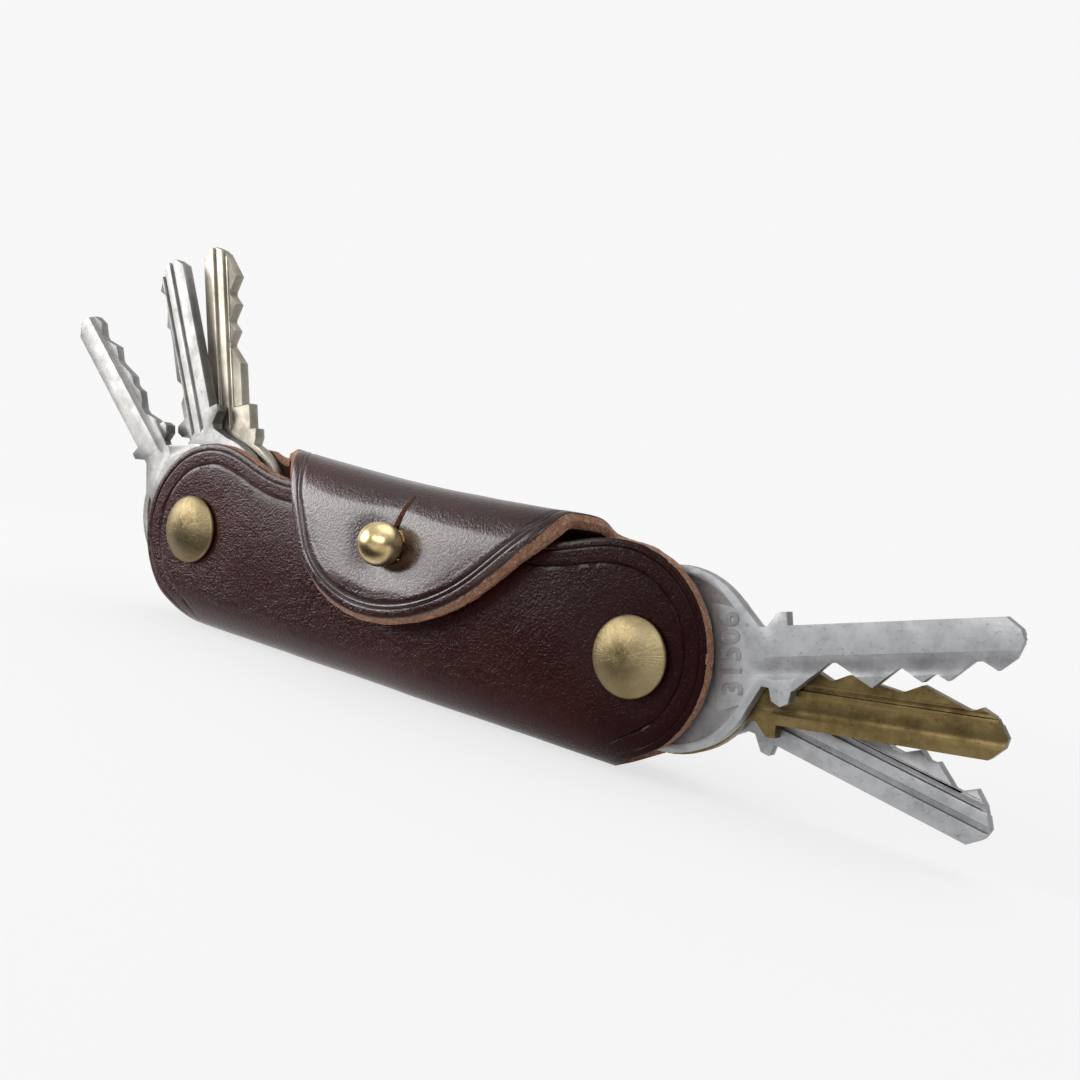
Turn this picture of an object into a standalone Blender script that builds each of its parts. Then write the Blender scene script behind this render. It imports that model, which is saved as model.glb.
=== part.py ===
# Leather key organizer: a folded leather case with a closing flap, two binding posts and six keys.
# Metres, +Z up. X runs along the case, the front faces -Y, and z = 0 is the flat under the fold.
import math

import bmesh
import bpy
from mathutils import Matrix

MM = 0.001
OVERCUT = 2 * MM               # how far a cutter runs past what it cuts

# Leather
LEATHER = 2.3 * MM
POST_SPACING = 84.8 * MM
POST_HEIGHT = 15.7 * MM
PANEL_TOP = 30.4 * MM
END_RADIUS = 14.6 * MM
END_REACH = 10.9 * MM          # panel end past the post's axis
FOLD_RADIUS = 5.2 * MM         # outer radius of the two bends of the fold
FOLD_CUT_ANGLE = math.radians(-58)
WAIST_DROP = 3.0 * MM          # the front panel's top edge dips between its round ends
WAIST_HALF = 23.5 * MM
BACK_INSET = 1.8 * MM          # the back panel's right end is cut to a smaller round

# Flap
FLAP_RISE = 0.8 * MM           # top of the flap over the panels' top, in the middle
FLAP_EDGE_LIFT = 1.1 * MM      # and how much higher its side edges arch
FLAP_TIP = 10.4 * MM
FLAP_TIP_RADIUS = 23.0 * MM
FLAP_SIDE_SLOPE = 0.7          # half width gained per height
FLAP_LEAN = 0.2                # middle line's shift to the right per height
FLAP_TIP_SHIFT = -0.6 * MM     # middle line off the case's middle at the tip
FLAP_ROOT_SHIFT = -2.0 * MM    # and at the seam
FLAP_CLEARANCE = 9.9 * MM      # flap's root off the post's axis, before the shift
FLAP_SHOULDER = 9.0 * MM       # height of the flap's rounded front shoulder
BACK_SQUARENESS = 2.3          # superellipse powers of the bend over the top
FRONT_SQUARENESS = 3.2
FLAP_BULGE = 0.4 * MM
FLAP_LIFT = 0.3 * MM           # flap's inner face off the front panel
SEAM_DROP = 4.2 * MM           # seam at the flap's bend, below the panel's top
SEAM_GAP = 0.3 * MM
SEAM_STRAIGHT = 0.8 * MM       # flat strip of the flap above the seam

# Binding posts
HEAD_RADIUS = 5.5 * MM
HEAD_DOME = 1.7 * MM
HEAD_RIM = 0.5 * MM
BARREL_RADIUS = 2.5 * MM
SCREW_RADIUS = 1.4 * MM
THREAD_CLEARANCE = 0.15 * MM
THREAD_LENGTH = 6.0 * MM
BARREL_SHORT = 0.6 * MM        # barrel's end inside the back panel's outer face
END_CLEARANCE = 0.3 * MM
SLOT_WIDTH = 1.2 * MM
SLOT_DEPTH = 0.9 * MM
SLOT_REACH = 4.1 * MM

# Key stack
KEY_THICKNESS = 2.0 * MM
KEYS_PER_POST = 3
WASHER_THICKNESS = 0.4 * MM
WASHER_RADIUS = 4.2 * MM
FACE_GAP = 0.1 * MM            # between the flat faces of the stack
HOLE_CLEARANCE = 0.15 * MM
KEY_HOLE_CLEARANCE = 0.3 * MM

# Closure stud
STUD_X = 1.5 * MM
BALL_RADIUS = 3.3 * MM
STUD_HEIGHT = 22.1 * MM
STUD_NECK_RADIUS = 1.6 * MM
STUD_COLLAR_RADIUS = 2.2 * MM
STUD_COLLAR = 0.5 * MM
STUD_REACH = 4.5 * MM          # ball's centre off the front panel
STUD_SCREW_HEAD = 3.2 * MM
STUD_SCREW_FLAT = 0.8 * MM
STUD_SCREW_SUNK = 0.6 * MM     # seat pressed into the leather
STUD_SCREW_RADIUS = 0.9 * MM
STUD_SLOT_REACH = 2.5 * MM
STUD_SLOT_WIDTH = 0.8 * MM
STUD_SLOT_DEPTH = 0.4 * MM
BUTTONHOLE_RADIUS = 3.0 * MM
SLIT_WIDTH = 0.9 * MM
SLIT_LENGTH = 7.9 * MM

# Keys
BOW_CLEARANCE = 0.07 * MM      # a level key's bow over the fold
DROOP_CLEARANCE = 0.3 * MM    # the same where the key points down
KEY_REACH = 48.9 * MM          # hole to tip
KEY_NECK = 18.0 * MM           # hole to shoulder
BLADE_SPINE = 3.6 * MM         # straight edge off the blade's middle line
BLADE_EDGE = 4.5 * MM          # cut edge off the blade's middle line
RECESS_DEPTH = 0.25 * MM
RECESS_BORDER = 1.3 * MM
GROOVE_DEPTH = 0.55 * MM
GROOVE_WIDTH = 1.3 * MM
FRONT_GROOVE = 0.3 * MM        # groove's middle off the blade's middle line, towards the straight edge
BACK_GROOVE = -0.95 * MM
GROOVE_LEAD = 1.5 * MM         # groove's start before the shoulder
BOW_OPENING = math.radians(33)

# Blade tip as distance before the tip and off the straight edge, in mm
TIP_SHAPE = ((1.2, 4.8), (0, 2.7), (0.3, 1.5), (1.9, 0))

# Shoulders as distance past the neck and out from the blade's edge, in mm
SHOULDERS = {
    "nubs": dict(
        cut=((-1.2, -0.7), (-0.2, -0.5), (0, 1.1), (1.1, 1.9), (2.2, 1.5), (2.7, 0)),
        spine=((2.7, 0), (2.7, 1.7), (1.5, 1.7), (-0.1, -0.1), (-1.1, 0)),
    ),
    "steps": dict(
        cut=((-3.4, 3.1), (-1.9, 3.1), (-1.9, 1.8), (2.5, 1.8), (2.5, 0)),
        spine=((0, 0), (-1.1, 0.6)),
    ),
}

# Sizes that follow from the ones above
STACK_STEP = KEY_THICKNESS + WASHER_THICKNESS + 2 * FACE_GAP
INNER_DEPTH = KEYS_PER_POST * STACK_STEP + WASHER_THICKNESS + 2 * FACE_GAP
CASE_DEPTH = INNER_DEPTH + 2 * LEATHER
HALF_DEPTH = CASE_DEPTH / 2
POST_X = POST_SPACING / 2
END_X = POST_X + END_REACH - END_RADIUS
END_Z = PANEL_TOP - END_RADIUS
SEAM_Z = PANEL_TOP - SEAM_DROP
FLAP_FRONT = HALF_DEPTH + FLAP_LIFT + LEATHER
HOLE_RADIUS = BARREL_RADIUS + HOLE_CLEARANCE
FLAP_TOP = PANEL_TOP + FLAP_RISE
FLAP_ROOT_HALF = POST_X - FLAP_CLEARANCE
KEYS_OUTER_FACE = INNER_DEPTH / 2 - 2 * FACE_GAP - WASHER_THICKNESS
FOLD_FLOOR = FOLD_RADIUS - math.sqrt(
    max(0, (FOLD_RADIUS - LEATHER) ** 2 - max(0, KEYS_OUTER_FACE - HALF_DEPTH + FOLD_RADIUS) ** 2))
KEY_BOW_RADIUS = POST_HEIGHT - FOLD_FLOOR - BOW_CLEARANCE
BARREL_LENGTH = CASE_DEPTH + FACE_GAP - BARREL_SHORT
SCREW_LENGTH = BARREL_SHORT + THREAD_LENGTH + FACE_GAP - END_CLEARANCE

# Each key: post side, place in the stack from the front, angle above +X, hole behind the bow's centre,
# bow's centre and blade's middle line to the left of the hole as the blade points, bow radius taken off,
# blade longer than the usual reach, side of the cut edge, width taken off it, length of the tip, shoulder,
# metal, slope of the cuts and cuts as distance from the hole, depth and flat. Lengths here are in mm.
KEYS = {
    "key_right_front": dict(
        side=1, place=0, angle=15.7, back=4.4, offset=-0.4, line=-0.4, slim=0.0, longer=0.0,
        cut=-1, trim=0.0, nose=3.2, shoulder="nubs", metal="steel",
        slope=0.7, cuts=((26.1, 3.35, 0.9), (34.4, 2.5, 0.5), (38.6, 1.75, 0.5), (43.6, 3.1, 1.0)),
    ),
    "key_right_middle": dict(
        side=1, place=1, angle=7.0, back=4.0, offset=-0.4, line=-2.9, slim=0.0, longer=-2.2,
        cut=1, trim=0.6, nose=3.2, shoulder="nubs", metal="aged_brass",
        slope=0.5, cuts=((25.2, 0.95, 0.6), (33.9, 1.15, 0.6), (42.3, 2.1, 0.6)),
    ),
    "key_right_back": dict(
        side=1, place=2, angle=-10.2, back=3.4, offset=-0.2, line=-0.2, slim=0.0, longer=-1.4,
        cut=1, trim=0.0, nose=3.2, shoulder="nubs", metal="steel",
        slope=0.7,
        cuts=((25.0, 2.2, 1.0), (30.0, 1.7, 1.0), (34.0, 1.7, 1.2), (38.2, 1.1, 0.6), (42.3, 2.75, 0.8)),
    ),
    "key_left_front": dict(
        side=-1, place=0, angle=139.9, back=4.6, offset=1.2, line=1.0, slim=0.6, longer=1.3,
        cut=-1, trim=2.2, nose=3.2, shoulder="nubs", metal="steel",
        slope=0.5, cuts=((26.7, 1.4, 1.0), (31.9, 0.6, 0.8), (38.0, 1.1, 0.8), (44.4, 1.7, 0.8)),
    ),
    "key_left_middle": dict(
        side=-1, place=1, angle=118.2, back=4.2, offset=0.2, line=0.0, slim=0.3, longer=0.0,
        cut=1, trim=1.5, nose=3.2, shoulder="nubs", metal="steel",
        slope=0.85, cuts=((25.9, 1.1, 1.6), (36.0, 0.6, 2.4), (42.6, 1.2, 1.4)),
    ),
    "key_left_back": dict(
        side=-1, place=2, angle=107.0, back=4.2, offset=-0.6, line=-0.5, slim=0.6, longer=0.5,
        cut=-1, trim=0.6, nose=5.4, shoulder="steps", metal="nickel",
        slope=0.7, cuts=((31.8, 2.35, 0.4), (35.9, 2.1, 0.4), (40.6, 1.7, 0.6)),
    ),
}

# Colour, roughness and metallic value
LOOKS = {
    "leather": ((0.075, 0.018, 0.016), 0.35, 0),
    "brass": ((0.62, 0.50, 0.28), 0.34, 1),
    "steel": ((0.66, 0.67, 0.69), 0.32, 1),
    "aged_brass": ((0.36, 0.27, 0.12), 0.42, 1),
    "nickel": ((0.60, 0.57, 0.50), 0.30, 1),
}


def clear_scene():
    for item in list(bpy.data.objects):
        bpy.data.objects.remove(item)


def new_collection(name):
    collection = bpy.data.collections.new(name)
    bpy.context.scene.collection.children.link(collection)
    return collection


def new_material(name, look):
    color, roughness, metallic = look
    material = bpy.data.materials.new(name)
    material.use_nodes = True
    shader = material.node_tree.nodes["Principled BSDF"]
    shader.inputs["Base Color"].default_value = (*color, 1)
    shader.inputs["Roughness"].default_value = roughness
    shader.inputs["Metallic"].default_value = metallic
    return material


def new_object(name, mesh, collection, look=None):
    item = bpy.data.objects.new(name, mesh)
    collection.objects.link(item)
    if look:
        mesh.materials.clear()
        mesh.materials.append(new_material(name, look))
    return item


def shade(item, angle=30):
    item.data.shade_smooth()
    item.data.set_sharp_from_angle(angle=math.radians(angle))


def hide_cutter(item):
    item.hide_render = True
    item.display_type = "WIRE"


def evaluated_mesh(item):
    bpy.context.view_layer.update()
    graph = bpy.context.evaluated_depsgraph_get()
    return bpy.data.meshes.new_from_object(item.evaluated_get(graph))


def outline_solid(name, points, low, high, collection, look=None):
    """A flat outline in X and Z, filled and extruded along Y from low to high."""
    curve = bpy.data.curves.new(name, "CURVE")
    curve.dimensions = "2D"
    curve.fill_mode = "BOTH"
    curve.extrude = (high - low) / 2
    spline = curve.splines.new("POLY")
    spline.points.add(len(points) - 1)
    for point, (x, z) in zip(spline.points, points):
        point.co = (x, z, 0, 1)
    spline.use_cyclic_u = True
    drawn = bpy.data.objects.new(name + "_drawn", curve)
    collection.objects.link(drawn)
    mesh = evaluated_mesh(drawn)
    bpy.data.objects.remove(drawn)
    solid = bmesh.new()
    solid.from_mesh(mesh)
    bmesh.ops.remove_doubles(solid, verts=solid.verts, dist=1e-7)
    stand = Matrix.Translation((0, (low + high) / 2, 0)) @ Matrix.Rotation(math.pi / 2, 4, "X")
    bmesh.ops.transform(solid, matrix=stand, verts=solid.verts)
    bmesh.ops.recalc_face_normals(solid, faces=solid.faces)
    bmesh.ops.dissolve_limit(solid, angle_limit=math.radians(1), verts=solid.verts, edges=solid.edges)
    solid.to_mesh(mesh)
    solid.free()
    return new_object(name, mesh, collection, look)


def round_cutter(name, x, z, radius, low, high, segments, collection):
    """A cylinder along Y."""
    solid = bmesh.new()
    bmesh.ops.create_cone(
        solid, cap_ends=True, segments=segments, radius1=radius, radius2=radius, depth=high - low)
    turn = Matrix.Translation((x, (low + high) / 2, z)) @ Matrix.Rotation(math.pi / 2, 4, "X")
    bmesh.ops.transform(solid, matrix=turn, verts=solid.verts)
    mesh = bpy.data.meshes.new(name)
    solid.to_mesh(mesh)
    solid.free()
    cutter = new_object(name, mesh, collection)
    hide_cutter(cutter)
    return cutter


def box_cutter(name, lowest, highest, collection):
    solid = bmesh.new()
    bmesh.ops.create_cube(solid, size=1)
    size = [high - low for low, high in zip(lowest, highest)]
    middle = [(high + low) / 2 for low, high in zip(lowest, highest)]
    fit = Matrix.Translation(middle) @ Matrix.Diagonal((*size, 1))
    bmesh.ops.transform(solid, matrix=fit, verts=solid.verts)
    mesh = bpy.data.meshes.new(name)
    solid.to_mesh(mesh)
    solid.free()
    cutter = new_object(name, mesh, collection)
    hide_cutter(cutter)
    return cutter


def boolean(item, cutter, operation="DIFFERENCE"):
    modifier = item.modifiers.new(cutter.name, "BOOLEAN")
    modifier.object = cutter
    modifier.operation = operation
    modifier.solver = "EXACT"
    hide_cutter(cutter)


def turned(name, profile, steps, collection, look, ring=False):
    """A profile of radius and height turned round, its height laid along -Y. A ring's profile is closed."""
    mesh = bpy.data.meshes.new(name)
    line = bmesh.new()
    verts = [line.verts.new((radius, 0, height)) for radius, height in profile]
    for first, second in zip(verts, verts[1:]):
        line.edges.new((first, second))
    if ring:
        line.edges.new((verts[-1], verts[0]))
    line.to_mesh(mesh)
    line.free()
    item = new_object(name, mesh, collection, look)
    screw = item.modifiers.new("Turn", "SCREW")
    screw.steps = steps
    screw.render_steps = steps
    screw.use_merge_vertices = True
    screw.merge_threshold = 0.00001
    item.rotation_euler = (math.pi / 2, 0, 0)
    return item


def arc(centre_x, centre_z, radius, start, end, count):
    steps = [start + (end - start) * i / count for i in range(count + 1)]
    return [(centre_x + radius * math.cos(a), centre_z + radius * math.sin(a)) for a in steps]


def mirrored(points):
    """Closes a right half outline, listed top to bottom, with its mirror image."""
    return points + [(-x, z) for x, z in reversed(points)]


def leather_outline():
    """The case seen from the front, as wide at the back as at the front."""
    right = arc(END_X, END_Z, END_RADIUS, math.pi / 2, FOLD_CUT_ANGLE, 22)
    x, z = right[-1]
    slope = math.tan(FOLD_CUT_ANGLE + math.pi / 2)
    right.append((x - (z + OVERCUT) / slope, -OVERCUT))
    return mirrored(right)


def waist_outline():
    """What is cut away above the front panel's dipped top edge."""
    count = 10
    right = []
    for i in range(count + 1):
        t = 1 - i / count
        x = WAIST_HALF + (END_X - WAIST_HALF) * t
        drop = WAIST_DROP * (0.5 + 0.5 * math.cos(math.pi * t))
        right.append((x, PANEL_TOP - drop))
    right.insert(0, (END_X, PANEL_TOP + OVERCUT))
    return mirrored(right)


def back_trim_outline():
    """What is cut away round the back panel's right end, flaring in from the flap's root."""
    radius = END_RADIUS - BACK_INSET
    centre_x = END_X + BACK_INSET * math.cos(FOLD_CUT_ANGLE)
    centre_z = END_Z + BACK_INSET * math.sin(FOLD_CUT_ANGLE)
    root = FLAP_ROOT_SHIFT + FLAP_ROOT_HALF + SEAM_GAP
    drop = PANEL_TOP - centre_z - radius
    count = 8
    edge = []
    for i in range(count):
        t = i / count
        edge.append((root + (centre_x - root) * t, PANEL_TOP - drop * (0.5 - 0.5 * math.cos(math.pi * t))))
    edge += arc(centre_x, centre_z, radius, math.pi / 2, FOLD_CUT_ANGLE, 20)
    outside = POST_X + END_REACH + OVERCUT
    above = PANEL_TOP + OVERCUT
    return edge + [(outside, edge[-1][1]), (outside, above), (root, above)]


def fold_profile():
    """The case's outer surface from the front's top, round the fold, to the back's top."""
    top = PANEL_TOP + OVERCUT
    turn = HALF_DEPTH - FOLD_RADIUS
    front = arc(-turn, FOLD_RADIUS, FOLD_RADIUS, math.pi, 1.5 * math.pi, 9)
    back = arc(turn, FOLD_RADIUS, FOLD_RADIUS, 1.5 * math.pi, 2 * math.pi, 9)
    return [(-HALF_DEPTH, top)] + front + back + [(HALF_DEPTH, top)]


def flap_rows():
    """Rows of the flap from the seam over the top to the tip: middle, half width, Y, Z and edge lift."""
    middle = (HALF_DEPTH - FLAP_FRONT - FLAP_BULGE) / 2
    half_span = HALF_DEPTH - middle
    seam = SEAM_Z + SEAM_GAP
    side = math.atan(1 / FLAP_SIDE_SLOPE)
    tip_centre = FLAP_TIP + FLAP_TIP_RADIUS
    side_half = FLAP_TIP_RADIUS * math.sin(side)
    side_z = tip_centre - FLAP_TIP_RADIUS * math.cos(side)
    bend = seam + SEAM_STRAIGHT
    low = FLAP_TOP - FLAP_SHOULDER
    shoulder = side_half + FLAP_SIDE_SLOPE * (FLAP_TOP - side_z)
    shoulder_shift = FLAP_TIP_SHIFT + FLAP_LEAN * (FLAP_TOP - FLAP_TIP)
    rows = [(FLAP_ROOT_SHIFT, FLAP_ROOT_HALF, HALF_DEPTH, seam, 0)]
    path = []
    for i in range(9):
        a = math.pi / 2 * i / 8
        path.append((
            middle + half_span * math.cos(a) ** (2 / BACK_SQUARENESS),
            bend + (FLAP_TOP - bend) * math.sin(a) ** (2 / BACK_SQUARENESS)))
    for i in range(1, 13):
        a = math.pi / 2 * (1 - i / 12)
        path.append((
            middle - half_span * math.cos(a) ** (2 / FRONT_SQUARENESS),
            low + (FLAP_TOP - low) * math.sin(a) ** (2 / FRONT_SQUARENESS)))
    for y, z in path:
        over = (HALF_DEPTH - y) / (2 * half_span)
        across = FLAP_ROOT_HALF + (shoulder - FLAP_ROOT_HALF) * over
        along = FLAP_ROOT_SHIFT + (shoulder_shift - FLAP_ROOT_SHIFT) * over
        half = min(across, side_half + FLAP_SIDE_SLOPE * (z - side_z)) if over > 0.5 else across
        shift = min(along, FLAP_TIP_SHIFT + FLAP_LEAN * (z - FLAP_TIP)) if over > 0.5 else along
        arch = min(1, max(0, (z - bend) / (FLAP_TOP - bend)))
        rows.append((shift, half, y, z, FLAP_EDGE_LIFT * arch))
    for i in range(12):
        a = side * (1 - i / 12)
        z = tip_centre - FLAP_TIP_RADIUS * math.cos(a)
        shift = FLAP_TIP_SHIFT + FLAP_LEAN * (z - FLAP_TIP)
        rows.append((shift, FLAP_TIP_RADIUS * math.sin(a), -FLAP_FRONT, z, 0))
    return rows


def thickened(item):
    solidify = item.modifiers.new("Leather", "SOLIDIFY")
    solidify.thickness = LEATHER
    solidify.offset = -1
    solidify.use_even_offset = True


def make_case(parts, cutters):
    surface = bmesh.new()
    length = 2 * (POST_X + END_REACH + OVERCUT)
    verts = [surface.verts.new((-length / 2, y, z)) for y, z in fold_profile()]
    edges = [surface.edges.new(pair) for pair in zip(verts, verts[1:])]
    drawn = bmesh.ops.extrude_edge_only(surface, edges=edges)
    far = [v for v in drawn["geom"] if isinstance(v, bmesh.types.BMVert)]
    bmesh.ops.translate(surface, vec=(length, 0, 0), verts=far)
    bmesh.ops.reverse_faces(surface, faces=surface.faces)
    mesh = bpy.data.meshes.new("leather_case")
    surface.to_mesh(mesh)
    surface.free()
    case = new_object("leather_case", mesh, parts, LOOKS["leather"])
    thickened(case)
    reach = HALF_DEPTH + OVERCUT
    outline = outline_solid("case_outline", leather_outline(), -reach, reach, cutters)
    boolean(case, outline, "INTERSECT")
    waist = outline_solid("front_waist", waist_outline(), -reach, 0, cutters)
    boolean(case, waist)
    root = FLAP_ROOT_HALF + SEAM_GAP
    window = box_cutter(
        "flap_seam", (FLAP_ROOT_SHIFT - root, 0, SEAM_Z), (FLAP_ROOT_SHIFT + root, reach, PANEL_TOP + OVERCUT),
        cutters)
    boolean(case, window)
    trim = outline_solid("back_trim", back_trim_outline(), 0, reach, cutters)
    boolean(case, trim)
    for side in (-1, 1):
        hole = round_cutter(
            f"post_hole_{side}", side * POST_X, POST_HEIGHT, HOLE_RADIUS, -reach, reach, 32, cutters)
        boolean(case, hole)
    inner = -HALF_DEPTH + LEATHER
    screw_hole = round_cutter(
        "stud_hole", STUD_X, STUD_HEIGHT, STUD_NECK_RADIUS + HOLE_CLEARANCE, -reach, inner + OVERCUT,
        24, cutters)
    boolean(case, screw_hole)
    seat = round_cutter(
        "stud_screw_seat", STUD_X, STUD_HEIGHT, STUD_SCREW_HEAD + HOLE_CLEARANCE,
        inner - STUD_SCREW_SUNK, inner + OVERCUT, 28, cutters)
    boolean(case, seat)
    return case


def make_flap(parts, cutters):
    """The flap turns about its seam, so its origin lies there."""
    rows = flap_rows()
    seam_y = HALF_DEPTH - LEATHER / 2
    surface = bmesh.new()
    bmesh.ops.create_grid(surface, x_segments=8, y_segments=len(rows) - 1, size=1)
    for vert in surface.verts:
        u = vert.co.x
        shift, half, y, z, lift = rows[round((vert.co.y + 1) / 2 * (len(rows) - 1))]
        vert.co = (shift - FLAP_ROOT_SHIFT + half * u, y - seam_y, z - SEAM_Z + lift * u ** 2)
    bmesh.ops.reverse_faces(surface, faces=surface.faces)
    mesh = bpy.data.meshes.new("closure_flap")
    surface.to_mesh(mesh)
    surface.free()
    flap = new_object("closure_flap", mesh, parts, LOOKS["leather"])
    flap.location = (FLAP_ROOT_SHIFT, seam_y, SEAM_Z)
    thickened(flap)
    front, behind = -FLAP_FRONT - OVERCUT, -HALF_DEPTH + LEATHER
    hole = round_cutter(
        "buttonhole", STUD_X, STUD_HEIGHT, BUTTONHOLE_RADIUS, front, behind, 32, cutters)
    boolean(flap, hole)
    top, half = STUD_X + FLAP_LEAN * SLIT_LENGTH, SLIT_WIDTH / 2
    slit_outline = [
        (STUD_X - half, STUD_HEIGHT), (STUD_X + half, STUD_HEIGHT),
        (top + half, STUD_HEIGHT + SLIT_LENGTH), (top - half, STUD_HEIGHT + SLIT_LENGTH)]
    slit = outline_solid("buttonhole_slit", slit_outline, front, behind, cutters)
    boolean(flap, slit)
    return flap


def dome(radius, rim, rise, count):
    """A domed head's profile from its middle out and down its rim, over height 0."""
    ball = (radius ** 2 + rise ** 2) / (2 * rise)
    edge = math.asin(radius / ball)
    points = [(ball * math.sin(edge * i / count), rim + rise - ball + ball * math.cos(edge * i / count))
              for i in range(count + 1)]
    return points + [(radius, 0)]


def make_post(side, place, parts, cutters):
    """A binding post: a domed head in front on a bored barrel, and a slotted screw from the back."""
    x = side * POST_X
    face = HALF_DEPTH + FACE_GAP
    profile = dome(HEAD_RADIUS, HEAD_RIM, HEAD_DOME, 6)
    floor = -BARREL_LENGTH
    bore = SCREW_RADIUS + THREAD_CLEARANCE
    depth = floor + THREAD_LENGTH
    profile += [(BARREL_RADIUS, 0), (BARREL_RADIUS, floor), (bore, floor), (bore, depth), (0, depth)]
    post = turned(f"{place}_post", profile, 32, parts, LOOKS["brass"])
    post.location = (x, -face, POST_HEIGHT)
    shade(post)
    profile = dome(HEAD_RADIUS, HEAD_RIM, HEAD_DOME, 6)
    profile += [(SCREW_RADIUS, 0), (SCREW_RADIUS, -SCREW_LENGTH), (0, -SCREW_LENGTH)]
    screw = turned(f"{place}_post_screw", profile, 32, parts, LOOKS["brass"])
    screw.location = (x, face, POST_HEIGHT)
    screw.rotation_euler = (-math.pi / 2, 0, 0)
    shade(screw)
    crown = face + HEAD_RIM + HEAD_DOME
    slot = box_cutter(
        f"{place}_slot", (x - SLOT_REACH, crown - SLOT_DEPTH, POST_HEIGHT - SLOT_WIDTH / 2),
        (x + SLOT_REACH, crown + OVERCUT, POST_HEIGHT + SLOT_WIDTH / 2), cutters)
    boolean(screw, slot)


def make_stud(parts, cutters):
    """A ball stud on the front panel, with the screw that holds it from inside."""
    neck = BALL_RADIUS * math.cos(math.asin(STUD_NECK_RADIUS / BALL_RADIUS))
    low = math.atan2(STUD_NECK_RADIUS, -neck)
    ball = [(BALL_RADIUS * math.sin(low * i / 14), STUD_REACH + BALL_RADIUS * math.cos(low * i / 14))
            for i in range(15)]
    bore = STUD_SCREW_RADIUS + THREAD_CLEARANCE
    foot = -(LEATHER - STUD_SCREW_SUNK - 2 * FACE_GAP)
    profile = ball + [
        (STUD_NECK_RADIUS, STUD_COLLAR), (STUD_COLLAR_RADIUS, STUD_COLLAR), (STUD_COLLAR_RADIUS, 0),
        (STUD_NECK_RADIUS, 0), (STUD_NECK_RADIUS, foot), (bore, foot), (bore, STUD_COLLAR),
        (0, STUD_COLLAR)]
    stud = turned("closure_stud", profile, 32, parts, LOOKS["brass"])
    stud.location = (STUD_X, -HALF_DEPTH - FACE_GAP, STUD_HEIGHT)
    shade(stud)
    seat = -HALF_DEPTH + LEATHER - STUD_SCREW_SUNK + FACE_GAP
    length = LEATHER - STUD_SCREW_SUNK + 2 * FACE_GAP + STUD_COLLAR - END_CLEARANCE
    profile = [
        (0, STUD_SCREW_FLAT), (STUD_SCREW_HEAD, STUD_SCREW_FLAT), (STUD_SCREW_HEAD, 0),
        (STUD_SCREW_RADIUS, 0), (STUD_SCREW_RADIUS, -length), (0, -length)]
    screw = turned("stud_screw", profile, 24, parts, LOOKS["brass"])
    screw.rotation_euler = (-math.pi / 2, 0, 0)
    screw.location = (STUD_X, seat, STUD_HEIGHT)
    shade(screw)
    top = seat + STUD_SCREW_FLAT
    slot = box_cutter(
        "stud_slot", (STUD_X - STUD_SLOT_REACH, top - STUD_SLOT_DEPTH, STUD_HEIGHT - STUD_SLOT_WIDTH / 2),
        (STUD_X + STUD_SLOT_REACH, top + OVERCUT, STUD_HEIGHT + STUD_SLOT_WIDTH / 2), cutters)
    boolean(screw, slot)


def stack_face(place):
    """The front of the key in this place of the stack."""
    return -INNER_DEPTH / 2 + 2 * FACE_GAP + WASHER_THICKNESS + place * STACK_STEP


def make_washers(side, name, parts):
    """Thin rings between the leather and the keys, and between neighbouring keys."""
    inner, outer = HOLE_RADIUS, WASHER_RADIUS
    profile = [(inner, WASHER_THICKNESS), (outer, WASHER_THICKNESS), (outer, 0), (inner, 0)]
    for place in range(KEYS_PER_POST + 1):
        ring = turned(f"{name}_washer_{place + 1}", profile, 28, parts, LOOKS["steel"], ring=True)
        back = stack_face(place) - FACE_GAP
        ring.location = (side * POST_X, back, POST_HEIGHT)
        shade(ring)


def cut_edge(cuts, slope, start, end):
    """Points of the blade's cut edge from shoulder to tip, as distance and depth of cut."""
    points = []
    spans = [(x * MM, depth * MM, flat * MM / 2) for x, depth, flat in cuts]
    spans = [(x, depth, flat) for x, depth, flat in spans if start < x - flat and x + flat < end]
    before = start
    for i, (x, depth, flat) in enumerate(spans):
        foot = x - flat - depth / slope
        if foot > before:
            points.append((foot, 0))
        points += [(x - flat, depth), (x + flat, depth)]
        after = x + flat + depth / slope
        if i + 1 < len(spans):
            next_x, next_depth, next_flat = spans[i + 1]
            near = next_x - next_flat - next_depth / slope
            if near < after:
                meet = (x + flat + next_x - next_flat) / 2 + (depth - next_depth) / (2 * slope)
                points.append((meet, depth - slope * (meet - x - flat)))
            else:
                points.append((after, 0))
            before = max(after, near)
        else:
            points.append((min(after, end), max(0, depth - slope * (end - x - flat))))
    return points


def bow_radius(spec):
    angle = math.radians(spec["angle"])
    height = POST_HEIGHT + (spec["back"] * math.sin(angle) + spec["offset"] * math.cos(angle)) * MM
    return min(KEY_BOW_RADIUS - spec["slim"] * MM, height - FOLD_FLOOR - DROOP_CLEARANCE)


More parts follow.
